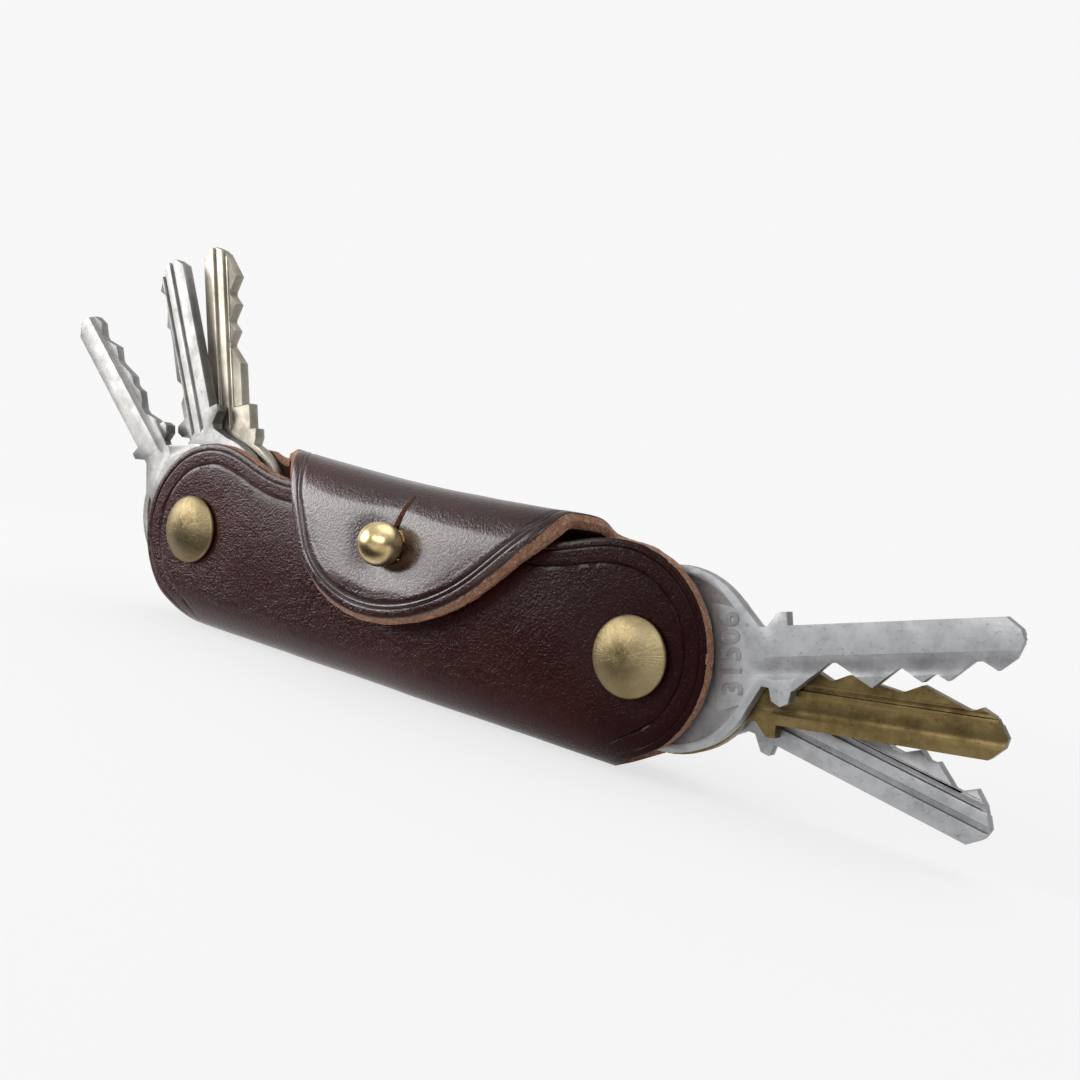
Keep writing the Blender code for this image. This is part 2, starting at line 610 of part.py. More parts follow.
def key_outline(spec):
    """A key's outline with its hole at 0, 0 and the blade along +X."""
    flip = -spec["cut"]
    neck = KEY_NECK + spec["longer"] * MM
    tip = KEY_REACH + spec["longer"] * MM
    edge = spec["trim"] * MM - BLADE_EDGE
    shoulder = SHOULDERS[spec["shoulder"]]
    bow = arc(0, 0, bow_radius(spec), BOW_OPENING, 2 * math.pi - BOW_OPENING, 44)
    points = [(x + spec["back"] * MM, z * flip + spec["offset"] * MM) for x, z in bow]
    blade = [(neck + along * MM, edge - out * MM) for along, out in shoulder["cut"]]
    cuts = cut_edge(spec["cuts"], spec["slope"], blade[-1][0], tip - spec["nose"] * MM)
    blade += [(x, edge + depth) for x, depth in cuts]
    blade += [(tip - before * MM, BLADE_SPINE - off * MM) for before, off in TIP_SHAPE]
    blade += [(neck + along * MM, BLADE_SPINE + out * MM) for along, out in shoulder["spine"]]
    return points + [(x, z * flip + spec["line"] * MM) for x, z in blade]


def make_key(name, spec, parts, cutters):
    """A flat key turned about its hole, with recessed bow faces and grooves along the blade."""
    half = KEY_THICKNESS / 2
    key = outline_solid(name, key_outline(spec), -half, half, parts, LOOKS[spec["metal"]])
    reach = half + OVERCUT
    back, offset, line = spec["back"] * MM, spec["offset"] * MM, spec["line"] * MM
    turn_and_place = (
        (spec["side"] * POST_X, stack_face(spec["place"]) + half, POST_HEIGHT), -math.radians(spec["angle"]))
    tools = [round_cutter(name + "_hole", 0, 0, BARREL_RADIUS + KEY_HOLE_CLEARANCE, -reach, reach, 28, cutters)]
    pocket = bow_radius(spec) - RECESS_BORDER
    for face, low, high in (("front", -reach, -half + RECESS_DEPTH), ("back", half - RECESS_DEPTH, reach)):
        tools.append(round_cutter(f"{name}_{face}_recess", back, offset, pocket, low, high, 40, cutters))
    flip = -spec["cut"]
    start, end = KEY_NECK - GROOVE_LEAD, KEY_REACH + OVERCUT
    for label, middle, low, high in (
            ("front_groove", FRONT_GROOVE, -reach, -half + GROOVE_DEPTH),
            ("back_groove", BACK_GROOVE, half - GROOVE_DEPTH, reach)):
        bottom = middle * flip + line - GROOVE_WIDTH / 2
        tools.append(box_cutter(
            f"{name}_{label}", (start, low, bottom), (end, high, bottom + GROOVE_WIDTH), cutters))
    for tool in tools:
        boolean(key, tool)
    for item in [key] + tools:
        item.location, item.rotation_euler.y = turn_and_place
    shade(key)
    return key


def build():
    clear_scene()
    parts = new_collection("leather_key_organizer")
    cutters = new_collection("cutters")
    make_case(parts, cutters)
    make_flap(parts, cutters)
    make_stud(parts, cutters)
    for side, name in ((-1, "left"), (1, "right")):
        make_post(side, name, parts, cutters)
        make_washers(side, name, parts)
    for name, spec in KEYS.items():
        make_key(name, spec, parts, cutters)


build()
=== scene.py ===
# Dresses the leather key organizer: one folded hide, brass fittings and six keys.
import math

import bmesh
import bpy
from mathutils import Matrix, Vector, noise


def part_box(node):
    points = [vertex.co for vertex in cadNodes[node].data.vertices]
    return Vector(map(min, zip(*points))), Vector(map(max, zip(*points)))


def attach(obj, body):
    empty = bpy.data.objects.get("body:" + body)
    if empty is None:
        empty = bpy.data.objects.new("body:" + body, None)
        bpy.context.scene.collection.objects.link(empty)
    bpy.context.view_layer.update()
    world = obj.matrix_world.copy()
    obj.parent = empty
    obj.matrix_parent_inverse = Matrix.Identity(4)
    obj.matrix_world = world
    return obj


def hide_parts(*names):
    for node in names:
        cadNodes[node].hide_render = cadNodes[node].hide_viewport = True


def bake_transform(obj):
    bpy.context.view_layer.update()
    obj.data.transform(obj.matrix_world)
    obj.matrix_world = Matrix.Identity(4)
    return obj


mm = 0.001
noise.seed_set(7)                              # noise vectors come from the clock without a seed
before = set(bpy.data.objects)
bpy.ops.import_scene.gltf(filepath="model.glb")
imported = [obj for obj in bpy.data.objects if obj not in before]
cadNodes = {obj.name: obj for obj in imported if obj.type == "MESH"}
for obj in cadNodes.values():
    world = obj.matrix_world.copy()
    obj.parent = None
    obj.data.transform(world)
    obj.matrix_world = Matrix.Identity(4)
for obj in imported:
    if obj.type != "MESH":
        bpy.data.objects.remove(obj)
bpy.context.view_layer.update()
print("frame loaded,", len(cadNodes), "nodes")


def addNode(tree, kind, settings=None, sockets=None):
    node = tree.nodes.new("ShaderNode" + kind)
    for key, value in (settings or {}).items():
        setattr(node, key, value)
    for key, value in (sockets or {}).items():
        if isinstance(value, bpy.types.NodeSocket):
            tree.links.new(value, node.inputs[key])
        else:
            node.inputs[key].default_value = value
    return node


def rampNode(tree, value, stops):
    ramp = addNode(tree, "ValToRGB", sockets={0: value})
    elements = ramp.color_ramp.elements
    while len(elements) < len(stops):
        elements.new(0.5)
    for element, (place, color) in zip(elements, stops):
        element.position = place
        element.color = (*color, 1) if len(color) == 3 else color
    return ramp.outputs["Color"]


def mixColor(tree, amount, first, second, blend="MIX"):
    node = addNode(tree, "Mix", {"data_type": "RGBA", "blend_type": blend})
    for key, value in ((0, amount), (6, first), (7, second)):
        if isinstance(value, bpy.types.NodeSocket):
            tree.links.new(value, node.inputs[key])
        else:
            node.inputs[key].default_value = value if key == 0 else (*value, 1)
    return node.outputs[2]


def mathNode(tree, operation, first, second=0.0, clamp=False):
    node = addNode(tree, "Math", {"operation": operation, "use_clamp": clamp})
    for key, value in ((0, first), (1, second)):
        if isinstance(value, bpy.types.NodeSocket):
            tree.links.new(value, node.inputs[key])
        else:
            node.inputs[key].default_value = value
    return node.outputs[0]


def rangeNode(tree, value, low, high, toLow, toHigh):
    node = addNode(tree, "MapRange", sockets={
        "Value": value, "From Min": low, "From Max": high, "To Min": toLow, "To Max": toHigh})
    return node.outputs[0]


def noiseNode(tree, vector, scale, detail=2.0, roughness=0.5, distortion=0.0):
    return addNode(tree, "TexNoise", sockets={
        "Vector": vector, "Scale": scale, "Detail": detail, "Roughness": roughness,
        "Distortion": distortion}).outputs[0]


def bumpNode(tree, height, distance, strength=1.0, normal=None):
    sockets = {"Height": height, "Distance": distance, "Strength": strength}
    if normal is not None:
        sockets["Normal"] = normal
    return addNode(tree, "Bump", sockets=sockets).outputs[0]


def newMaterial(name):
    material = bpy.data.materials.new(name)
    material.use_nodes = True
    tree = material.node_tree
    return material, tree, tree.nodes["Principled BSDF"]


def boolean(main, cutter, operation="DIFFERENCE"):
    # both bmeshes are used up, and the result comes back as a new one
    pair = []
    for name, solid in (("main", main), ("cutter", cutter)):
        mesh = bpy.data.meshes.new(name)
        solid.to_mesh(mesh)
        solid.free()
        piece = bpy.data.objects.new(name, mesh)
        bpy.context.scene.collection.objects.link(piece)
        pair.append(piece)
    modifier = pair[0].modifiers.new("cut", "BOOLEAN")
    modifier.object = pair[1]
    modifier.operation = operation
    modifier.solver = "EXACT"
    graph = bpy.context.evaluated_depsgraph_get()
    graph.update()
    cut = bpy.data.meshes.new_from_object(pair[0].evaluated_get(graph))
    result = bmesh.new()
    result.from_mesh(cut)
    bpy.data.meshes.remove(cut)
    for piece in pair:
        mesh = piece.data
        bpy.data.objects.remove(piece)
        bpy.data.meshes.remove(mesh)
    return result


def cylinderTool(centre, radius, low, high, segments=48, axis="Z"):
    tool = bmesh.new()
    bmesh.ops.create_cone(
        tool, cap_ends=True, segments=segments, radius1=radius, radius2=radius, depth=high - low)
    turn = Matrix.Identity(4) if axis == "Z" else Matrix.Rotation(math.pi / 2, 4, "X")
    along = Vector((0, 0, 1)) if axis == "Z" else Vector((0, 1, 0))
    place = Vector(centre) + along * ((low + high) / 2)
    bmesh.ops.transform(tool, matrix=Matrix.Translation(place) @ turn, verts=tool.verts)
    return tool


def boxTool(low, high):
    tool = bmesh.new()
    bmesh.ops.create_cube(tool, size=1)
    size = [b - a for a, b in zip(low, high)]
    middle = [(b + a) / 2 for a, b in zip(low, high)]
    bmesh.ops.transform(
        tool, matrix=Matrix.Translation(middle) @ Matrix.Diagonal((*size, 1)), verts=tool.verts)
    return tool


def prismTool(outline, low, high, axis="Z"):
    # an outline in X and Y raised along Z, or in X and Z raised along Y
    tool = bmesh.new()
    if axis == "Z":
        face = tool.faces.new([tool.verts.new((x, y, low)) for x, y in outline])
        lift = Vector((0, 0, high - low))
    else:
        face = tool.faces.new([tool.verts.new((x, low, z)) for x, z in outline])
        lift = Vector((0, high - low, 0))
    grown = bmesh.ops.extrude_face_region(tool, geom=[face], use_keep_orig=True)
    bmesh.ops.translate(tool, vec=lift, verts=[v for v in grown["geom"] if isinstance(v, bmesh.types.BMVert)])
    bmesh.ops.recalc_face_normals(tool, faces=tool.faces)
    return tool


def finishPiece(name, solid, body, materials, replaces, sharp=35):
    mesh = bpy.data.meshes.new(name)
    solid.to_mesh(mesh)
    solid.free()
    for material in materials:
        mesh.materials.append(material)
    mesh.shade_smooth()
    mesh.set_sharp_from_angle(angle=math.radians(sharp))
    piece = bpy.data.objects.new(name, mesh)
    bpy.context.scene.collection.objects.link(piece)
    if body:
        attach(piece, body)
    if replaces:
        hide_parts(*replaces)
    return piece


hideShape = {
    "thickness": 2.3, "halfDepth": 6.5, "foldRadius": 5.2, "top": 30.4,
    "endX": 38.7, "endZ": 15.8, "endRadius": 14.6, "foldCut": math.radians(-58),
    "waistDrop": 3.0, "waistHalf": 23.5, "backInset": 1.8,
    "seamZ": 26.2, "bendZ": 27.3, "flapTop": 31.2, "edgeLift": 1.1,
    "rootShift": -2.0, "rootHalf": 32.5, "flapFront": 9.1, "bulge": 0.4, "shoulder": 9.0,
    "tipZ": 10.4, "tipRadius": 23.0, "sideSlope": 0.7, "lean": 0.2, "tipShift": -0.6,
    "backSquareness": 2.3, "frontSquareness": 3.2,
    # distance from the edge, and depth there on the case and on the flap: rolled rim and two creases
    "edgeProfile": (
        (0.08, -0.11, -0.11), (0.25, -0.03, -0.03), (0.55, 0.03, 0.02), (0.85, 0.02, 0.03),
        (1.05, -0.15, 0.03), (1.22, -0.01, 0.00), (1.38, 0.02, -0.17), (1.54, 0.02, -0.01),
        (1.74, 0.02, 0.05), (1.92, 0.02, 0.00), (2.08, 0.02, -0.19), (2.26, 0.02, -0.04),
        (2.70, 0.02, 0.02), (3.04, -0.02, 0.01), (3.24, -0.22, 0.00), (3.44, -0.04, 0.00),
        (3.90, 0.00, 0.00)),
    "rimDepth": -0.24, "backRim": 0.2, "slantWidth": 0.8, "slantDepth": -1.15,
    "posts": 42.4, "postZ": 15.7, "postHole": 2.65, "postHead": 5.5, "dimple": 0.12,
    "studX": 1.5, "studZ": 22.1, "studHole": 1.75, "studSeat": 3.35, "seatDepth": 0.6,
    "buttonRadius": 3.0, "slitWidth": 1.35, "slitLength": 8.2, "slitLean": 0.2,
    # the front is drawn in a little at the waist, stands proud lower down, and the tongue's tip lifts
    "drawnIn": 1.0, "fleshHeld": 0.6, "drawnWidth": 34.0, "belly": 0.25, "tipLift": 1.6, "pillow": 0.6,
}
arcLength = hideShape["foldRadius"] * math.pi / 2
flatHalf = hideShape["halfDepth"] - hideShape["foldRadius"]
backStraight = flatHalf + arcLength        # distance along the hide where the back panel's flat starts


def alongHide(z):
    # distance along the hide from the middle of the fold to a height on a panel
    h = hideShape
    if z >= h["foldRadius"]:
        return backStraight + z - h["foldRadius"]
    return flatHalf + h["foldRadius"] * math.acos(1 - z / h["foldRadius"])


def flapPath():
    # rows along the flap from the bend to the tip: distance, Y, Z, middle, half width, edge lift
    h = hideShape
    middle = (h["halfDepth"] - h["flapFront"] - h["bulge"]) / 2
    span = h["halfDepth"] - middle
    side = math.atan(1 / h["sideSlope"])
    tipCentre = h["tipZ"] + h["tipRadius"]
    sideHalf = h["tipRadius"] * math.sin(side)
    sideZ = tipCentre - h["tipRadius"] * math.cos(side)
    low = h["flapTop"] - h["shoulder"]
    shoulderHalf = sideHalf + h["sideSlope"] * (h["flapTop"] - sideZ)
    shoulderShift = h["tipShift"] + h["lean"] * (h["flapTop"] - h["tipZ"])
    path = []
    for i in range(61):
        a = math.pi / 2 * i / 60
        path.append((middle + span * math.cos(a) ** (2 / h["backSquareness"]),
                     h["bendZ"] + (h["flapTop"] - h["bendZ"]) * math.sin(a) ** (2 / h["backSquareness"])))
    for i in range(1, 91):
        a = math.pi / 2 * (1 - i / 90)
        path.append((middle - span * math.cos(a) ** (2 / h["frontSquareness"]),
                     low + (h["flapTop"] - low) * math.sin(a) ** (2 / h["frontSquareness"])))
    frontY = path[-1][0]
    for i in range(1, 81):
        z = low + (h["tipZ"] - low) * (1 - (1 - i / 80) ** 2)
        settle = min(1, (low - z) / 11.8)
        settle = settle * settle * (3 - 2 * settle)
        path.append((frontY + (-h["flapFront"] - frontY) * settle, z))
    rows = []
    distance = alongHide(h["bendZ"])
    before = path[0]
    for y, z in path:
        distance += math.hypot(y - before[0], z - before[1])
        before = (y, z)
        over = (h["halfDepth"] - y) / (2 * span)
        half = h["rootHalf"] + (shoulderHalf - h["rootHalf"]) * over
        shift = h["rootShift"] + (shoulderShift - h["rootShift"]) * over
        if over > 0.5:
            if z > sideZ:
                half = min(half, sideHalf + h["sideSlope"] * (z - sideZ))
            else:
                half = math.sqrt(max(0, h["tipRadius"] ** 2 - (tipCentre - z) ** 2))
            shift = min(shift, h["tipShift"] + h["lean"] * (z - h["tipZ"]))
        arch = min(1, max(0, (z - h["bendZ"]) / (h["flapTop"] - h["bendZ"])))
        rows.append((distance, y, z, shift, half, h["edgeLift"] * arch))
    # the corners where the sides start to slope are rounded
    soft = []
    for row in rows:
        reach = min(3.6, (rows[-1][0] - row[0]) * 0.3)
        near = [rowAt(rows, row[0] + reach * k / 6) for k in range(-6, 7)]
        weights = [math.cos(math.pi * k / 14) ** 2 for k in range(-6, 7)]
        shift, half = (sum(w * r[i] for w, r in zip(weights, near)) / sum(weights) for i in (3, 4))
        soft.append((*row[:3], shift, half, row[5]))
    return soft


def rowAt(rows, distance):
    # the row at a distance along the hide, between the two nearest rows
    low, high = 0, len(rows) - 1
    if distance >= rows[-1][0]:
        low = high - 1
    while high - low > 1:
        middle = (low + high) // 2
        if rows[middle][0] <= distance:
            low = middle
        else:
            high = middle
    first, second = rows[low], rows[low + 1]
    t = max(0, (distance - first[0]) / max(1e-9, second[0] - first[0]))
    return tuple(a + (b - a) * t for a, b in zip(first, second))


flapRows = flapPath()
earTop = alongHide(hideShape["top"])
seamAlong = alongHide(hideShape["seamZ"])
bendAlong = alongHide(hideShape["bendZ"])


def flapAt(distance):
    # the flap's row at a distance along the hide, straight down the back panel before the bend
    if distance <= flapRows[0][0]:
        first = flapRows[0]
        return (distance, hideShape["halfDepth"], first[2] + distance - first[0], *first[3:])
    return rowAt(flapRows, distance)


def frontTop(x):
    h = hideShape
    t = min(1, max(0, (abs(x) - h["waistHalf"]) / (h["endX"] - h["waistHalf"])))
    return h["top"] - h["waistDrop"] * (0.5 + 0.5 * math.cos(math.pi * t))


def endCurve(radius, centreX, centreZ):
    # a panel's round end from its top down to the middle of the fold, as X and height
    h = hideShape
    points = []
    for i in range(71):
        a = math.pi / 2 + (h["foldCut"] - math.pi / 2) * i / 70
        points.append((centreX + radius * math.cos(a), centreZ + radius * math.sin(a)))
    x, z = points[-1]
    slope = math.tan(h["foldCut"] + math.pi / 2)
    turn = math.acos(1 - z / h["foldRadius"])
    for i in range(1, 13):
        low = h["foldRadius"] * (1 - math.cos(turn * (1 - i / 12)))
        points.append((x - (z - low) / slope, low))
    return points


def hideOutline():
    # the hide laid flat, as X and distance along it: front panel below, flap above
    h = hideShape
    points = []
    for i in range(121):
        x = -h["endX"] + 2 * h["endX"] * i / 120
        points.append((x, -alongHide(frontTop(x))))
    front = endCurve(h["endRadius"], h["endX"], h["endZ"])
    points += [(x, -alongHide(z)) for x, z in front[1:]]
    inset = h["backInset"]
    centreX = h["endX"] + inset * math.cos(h["foldCut"])
    centreZ = h["endZ"] + inset * math.sin(h["foldCut"])
    back = endCurve(h["endRadius"] - inset, centreX, centreZ)
    points += [(x, alongHide(z)) for x, z in reversed(back)]
    corner = flapAt(earTop)
    rightCorner = corner[3] + corner[4]
    drop = h["top"] - centreZ - h["endRadius"] + inset
    for i in range(1, 17):
        t = 1 - i / 16
        x = rightCorner + (centreX - rightCorner) * t
        points.append((x, alongHide(h["top"] - drop * (0.5 - 0.5 * math.cos(math.pi * t)))))
    above = [row for row in flapRows if row[0] > earTop + 0.3]
    points += [(row[3] + row[4], row[0]) for row in above[:-1]]
    points.append((above[-1][3], above[-1][0]))
    points += [(row[3] - row[4], row[0]) for row in reversed(above[:-1])]
    points.append((corner[3] - corner[4], earTop))
    left = endCurve(h["endRadius"], h["endX"], h["endZ"])
    points += [(-x, alongHide(z)) for x, z in left]
    points += [(-x, -alongHide(z)) for x, z in reversed(left[1:-1])]
    return evenPoints(points, 0.45)


def evenPoints(points, step):
    # the same closed outline with its points at even distances
    lengths = [0.0]
    loop = points + points[:1]
    for first, second in zip(loop, loop[1:]):
        lengths.append(lengths[-1] + math.dist(first, second))
    count = round(lengths[-1] / step)
    result = []
    k = 0
    for i in range(count):
        target = lengths[-1] * i / count
        while lengths[k + 1] < target:
            k += 1
        t = (target - lengths[k]) / max(1e-9, lengths[k + 1] - lengths[k])
        result.append(tuple(a + (b - a) * t for a, b in zip(loop[k], loop[k + 1])))
    return result


def insetRing(ring, step):
    # a closed ring moved inwards, eased so that its corners never fold over
    count = len(ring)
    moved = []
    for i, point in enumerate(ring):
        along = ring[(i + 2) % count] - ring[i - 2]
        moved.append(point + Vector((-along.y, along.x, 0)).normalized() * step)
    eased = []
    for i, point in enumerate(moved):
        middle = (moved[i - 1] + moved[(i + 1) % count]) / 2
        eased.append(point.lerp(middle, 0.5))
    return eased


def flatHide():
    # the whole hide as a flat solid in mm: grain side up at 0, flesh side down
    h = hideShape
    solid = bmesh.new()
    face = solid.faces.new([solid.verts.new((x, s, h["rimDepth"])) for x, s in hideOutline()])
    if face.normal.z < 0:
        face.normal_flip()
    solid.normal_update()
    # the tongue's cut edge slants, so that it shows below the rim
    ring = insetRing([vert.co.copy() for vert in face.verts], h["slantWidth"])
    for vert in face.verts:
        vert.co.z += (h["slantDepth"] - h["rimDepth"]) * easeStep((vert.co.y - bendAlong) / 3)
    bmesh.ops.inset_region(solid, faces=[face], thickness=0.02, use_boundary=True)
    for vert, place in zip(face.verts, ring):
        flap = easeStep((place.y - bendAlong) / 3)
        vert.co = vert.co.lerp(place, flap)
        vert.co.z = h["rimDepth"]
    before = 0.0
    for distance, onCase, onFlap in h["edgeProfile"]:
        ring = insetRing([vert.co.copy() for vert in face.verts], distance - before)
        bmesh.ops.inset_region(solid, faces=[face], thickness=0.02, use_boundary=True)
        for vert, place in zip(face.verts, ring):
            flap = easeStep((place.y - bendAlong) / 3)
            case = easeStep((abs(place.y) - 3) / 8)
            vert.co = (place.x, place.y, onCase * case * (1 - flap) + onFlap * flap)
        before = distance
    rim = [e for e in solid.edges if e.is_boundary]
    wall = bmesh.ops.extrude_edge_only(solid, edges=rim)
    low = [v for v in wall["geom"] if isinstance(v, bmesh.types.BMVert)]
    for vert in low:
        vert.co.z = h["backRim"] - h["thickness"]
    under = bmesh.ops.edgeloop_fill(solid, edges=[e for e in solid.edges if e.is_boundary])["faces"]
    bmesh.ops.inset_region(solid, faces=under, thickness=h["backRim"] * 0.7, use_even_offset=True)
    for vert in under[0].verts:
        vert.co.z = -h["thickness"]
    bmesh.ops.recalc_face_normals(solid, faces=solid.faces)
    for vert in solid.verts:
        if vert.co.z < -0.2 and vert.co.z > -h["thickness"] + 0.01:
            wobble = noise.noise_vector(vert.co * 2.9) * 0.08 + noise.noise_vector(vert.co * 0.6) * 0.07
            vert.co += Vector((wobble.x, wobble.y, 0))
    cuts = [((x, 0, 0), (1, 0, 0)) for x in range(-52, 53, 2)]
    s = -alongHide(h["top"])
    while s < flapRows[-1][0]:
        bent = flatHalf - 0.1 < abs(s) < backStraight + 0.1 or s > bendAlong - 0.1
        cuts.append(((0, s, 0), (0, 1, 0)))
        s += 0.75 if bent else 2.0
    for place, across in cuts:
        bmesh.ops.bisect_plane(
            solid, geom=solid.verts[:] + solid.edges[:] + solid.faces[:], plane_co=place, plane_no=across,
            dist=1e-5)
    bmesh.ops.remove_doubles(solid, verts=solid.verts, dist=0.03)
    return solid


def flapOutline():
    # the part of the flat hide that turns with the flap
    corner, root = flapAt(earTop), flapAt(seamAlong)
    far = flapRows[-1][0] + 5
    return [
        (root[3] - root[4], seamAlong), (root[3] + root[4], seamAlong), (corner[3] + corner[4], earTop),
        (corner[3] + corner[4] + 4, earTop + 0.6), (60, far), (-60, far),
        (corner[3] - corner[4] - 4, earTop + 0.6), (corner[3] - corner[4], earTop)]


def easeStep(value):
    value = min(1, max(0, value))
    return value * value * (3 - 2 * value)


def drawnIn(x, z):
    # how far the front leather lies back from its plane
    h = hideShape
    return h["drawnIn"] * easeStep((z - 8) / 22) * (1 - easeStep(abs(x) / h["drawnWidth"]))


def foldPoint(x, s, height):
    # where a point of the flat hide goes once the hide is folded, in mm
    h = hideShape
    turned = abs(s) - flatHalf
    if turned <= 0:
        y, z, normal = s, 0.0, Vector((0, 0, -1))
    elif turned <= arcLength:
        a = turned / h["foldRadius"]
        y = flatHalf + h["foldRadius"] * math.sin(a)
        z = h["foldRadius"] * (1 - math.cos(a))
        normal = Vector((0, math.sin(a), -math.cos(a)))
        if s < 0:
            y, normal.y = -y, -normal.y
    else:
        z = h["foldRadius"] + turned - arcLength
        y = math.copysign(h["halfDepth"], s)
        normal = Vector((0, math.copysign(1, s), 0))
        if s < 0:
            # the flesh side is drawn in less, so that the keys still fold in behind it
            y += drawnIn(x, z) * (1 + h["fleshHeld"] * height / h["thickness"])
            rise = math.pi * min(1, max(0, (z - 4) / 26))
            awayFromPost = easeStep((math.hypot(abs(x) - h["posts"], z - h["postZ"]) - 6) / 7)
            y -= h["belly"] * math.sin(rise) ** 2 * awayFromPost * (1 - easeStep((z - 17) / 9) * 0.6)
        if s > bendAlong:
            row = flapAt(s)
            ahead, behind = flapAt(s + 0.3), flapAt(s - 0.3)
            tangent = Vector((0, ahead[1] - behind[1], ahead[2] - behind[2])).normalized()
            side = abs(x - row[3]) - row[4]
            hold = 1 - min(1, max(0, side / 5))
            hold = hold * hold * (3 - 2 * hold)
            if s > earTop + 0.6:
                hold = 1
            u = (x - row[3]) / max(1, row[4])
            over = easeStep(-row[1] / 8)
            lift = h["tipLift"] * max(0, (28 - row[2]) / 17.6) ** 1.3
            fromStud = math.hypot(x - h["studX"], row[2] - h["studZ"])
            pillow = h["pillow"] * (1 - math.exp(-(fromStud / 5) ** 2)) * max(0, 1 - u ** 4)
            pillow *= easeStep((row[2] - h["tipZ"]) / 6) * easeStep((30 - row[2]) / 4)
            y += (row[1] + (drawnIn(x, min(27, row[2])) - lift - pillow) * over - y) * hold
            z += (row[2] + row[5] * min(1, u * u) - z) * hold
            normal = normal.lerp(Vector((0, tangent.z, -tangent.y)), hold).normalized()
    return Vector((x, y, z)) + normal * height


def foldHide(solid):
    # marks each face as grain, raw edge or flesh, keeps creases as an attribute, then folds the hide
    crease = solid.verts.layers.float.new("crease")
    edgeMark = solid.verts.layers.float.new("rim")
    rubbed = solid.verts.layers.float.new("rubbed")
    solid.normal_update()
    for face in solid.faces:
        up, depth = face.normal.z, face.calc_center_median().z
        face.material_index = 0 if up > 0.35 and depth > -0.32 else (2 if up < -0.8 else 1)
    for vert in solid.verts:
        x, s, height = vert.co
        if height > -0.3:
            vert[crease] = min(1, max(0, -height / 0.18))
        vert[edgeMark] = min(1, max(0, -height - 0.2))
        vert[rubbed] = easeStep((s - bendAlong - 14) / 8)
        swell = noise.noise(Vector((x * 0.06, s * 0.06, 3.1))) * 0.16
        swell += noise.noise(Vector((x * 0.21, s * 0.17, 7.7))) * 0.05
        for px in (-hideShape["posts"], hideShape["posts"]):
            # the post heads press the hide down around them
            away = math.hypot(x - px, abs(s) - alongHide(hideShape["postZ"]))
            swell -= hideShape["dimple"] * math.exp(-(max(0, away - hideShape["postHead"]) / 1.2) ** 2)
        nearSeam = min(1, max(0, abs(s - seamAlong) / 2))
        vert.co = foldPoint(x, s, height + (swell - 0.05) * nearSeam) * mm
    return solid


def makeLeather():
    # dark oiled hide: burgundy ground, fine crinkled grain, with the creases and the right end painted darker
    # as painted shade
    material, tree, shader = newMaterial("oiled burgundy leather")
    place = addNode(tree, "TexCoord").outputs["Object"]
    cloud = noiseNode(tree, place, 45, 4, 0.6)
    tone = rampNode(tree, cloud, ((0.30, (0.024, 0.0026, 0.0028)), (0.55, (0.038, 0.0042, 0.0040)),
                                  (0.78, (0.056, 0.0072, 0.0062))))
    fleck = noiseNode(tree, place, 1500, 3, 0.7)
    tone = mixColor(tree, rangeNode(tree, fleck, 0.55, 0.75, 0, 0.25), tone, (0.090, 0.015, 0.012))
    # the creases are painted darker: painted shade in the grooves
    crease = addNode(tree, "Attribute", {"attribute_name": "crease"}).outputs["Fac"]
    tone = mixColor(tree, mathNode(tree, "MULTIPLY", crease, 0.75), tone, (0.010, 0.0018, 0.0018))
    # the hide is painted darker towards its right end, a painted shade, and has less specular and coat there
    paintedShade = rangeNode(tree, addNode(tree, "SeparateXYZ", sockets={0: place}).outputs[0], 0.0, 0.05, 0, 1)
    tone = mixColor(tree, mathNode(tree, "MULTIPLY", paintedShade, 0.7), tone, (0.009, 0.0014, 0.0014))
    rim = addNode(tree, "Attribute", {"attribute_name": "rim"}).outputs["Fac"]
    tone = mixColor(tree, mathNode(tree, "MULTIPLY", rim, 1.6, True), tone, (0.08, 0.022, 0.014))
    tree.links.new(tone, shader.inputs["Base Color"])
    warp = addNode(tree, "VectorMath", {"operation": "SCALE"}, {
        0: addNode(tree, "TexNoise", sockets={"Vector": place, "Scale": 700, "Detail": 2.0}).outputs["Color"],
        "Scale": 0.0009}).outputs[0]
    bent = addNode(tree, "VectorMath", {"operation": "ADD"}, {0: place, 1: warp}).outputs[0]
    cells = addNode(tree, "TexVoronoi", {"feature": "SMOOTH_F1"}, {
        "Vector": bent, "Scale": 3000, "Smoothness": 0.25}).outputs["Distance"]
    fine = noiseNode(tree, bent, 2400, 3, 0.6)
    grain = mathNode(tree, "ADD", mathNode(tree, "MULTIPLY", cells, -0.6), fine)
    wrinkle = noiseNode(tree, place, 420, 4, 0.62, 0.8)
    normal = bumpNode(tree, wrinkle, 0.00010, 0.3)
    normal = bumpNode(tree, grain, 0.00009, 0.9, normal)
    tree.links.new(normal, shader.inputs["Normal"])
    patch = noiseNode(tree, place, 90, 3, 0.5)
    rough = rangeNode(tree, patch, 0.3, 0.7, 0.24, 0.31)
    rough = mathNode(tree, "ADD", rough, mathNode(tree, "MULTIPLY", crease, 0.15))
    tree.links.new(rough, shader.inputs["Roughness"])
    # the tongue is polished by handling
    polish = addNode(tree, "Attribute", {"attribute_name": "rubbed"}).outputs["Fac"]
    for socket, left, right, more in (
            ("Specular IOR Level", 0.37, 0.06, 0.24), ("Coat Weight", 0.30, 0.02, 0.45)):
        level = rangeNode(tree, paintedShade, 0, 1, left, right)
        level = mathNode(tree, "ADD", level, mathNode(tree, "MULTIPLY", polish, more))
        tree.links.new(level, shader.inputs[socket])
    shader.inputs["Coat Roughness"].default_value = 0.15
    return material


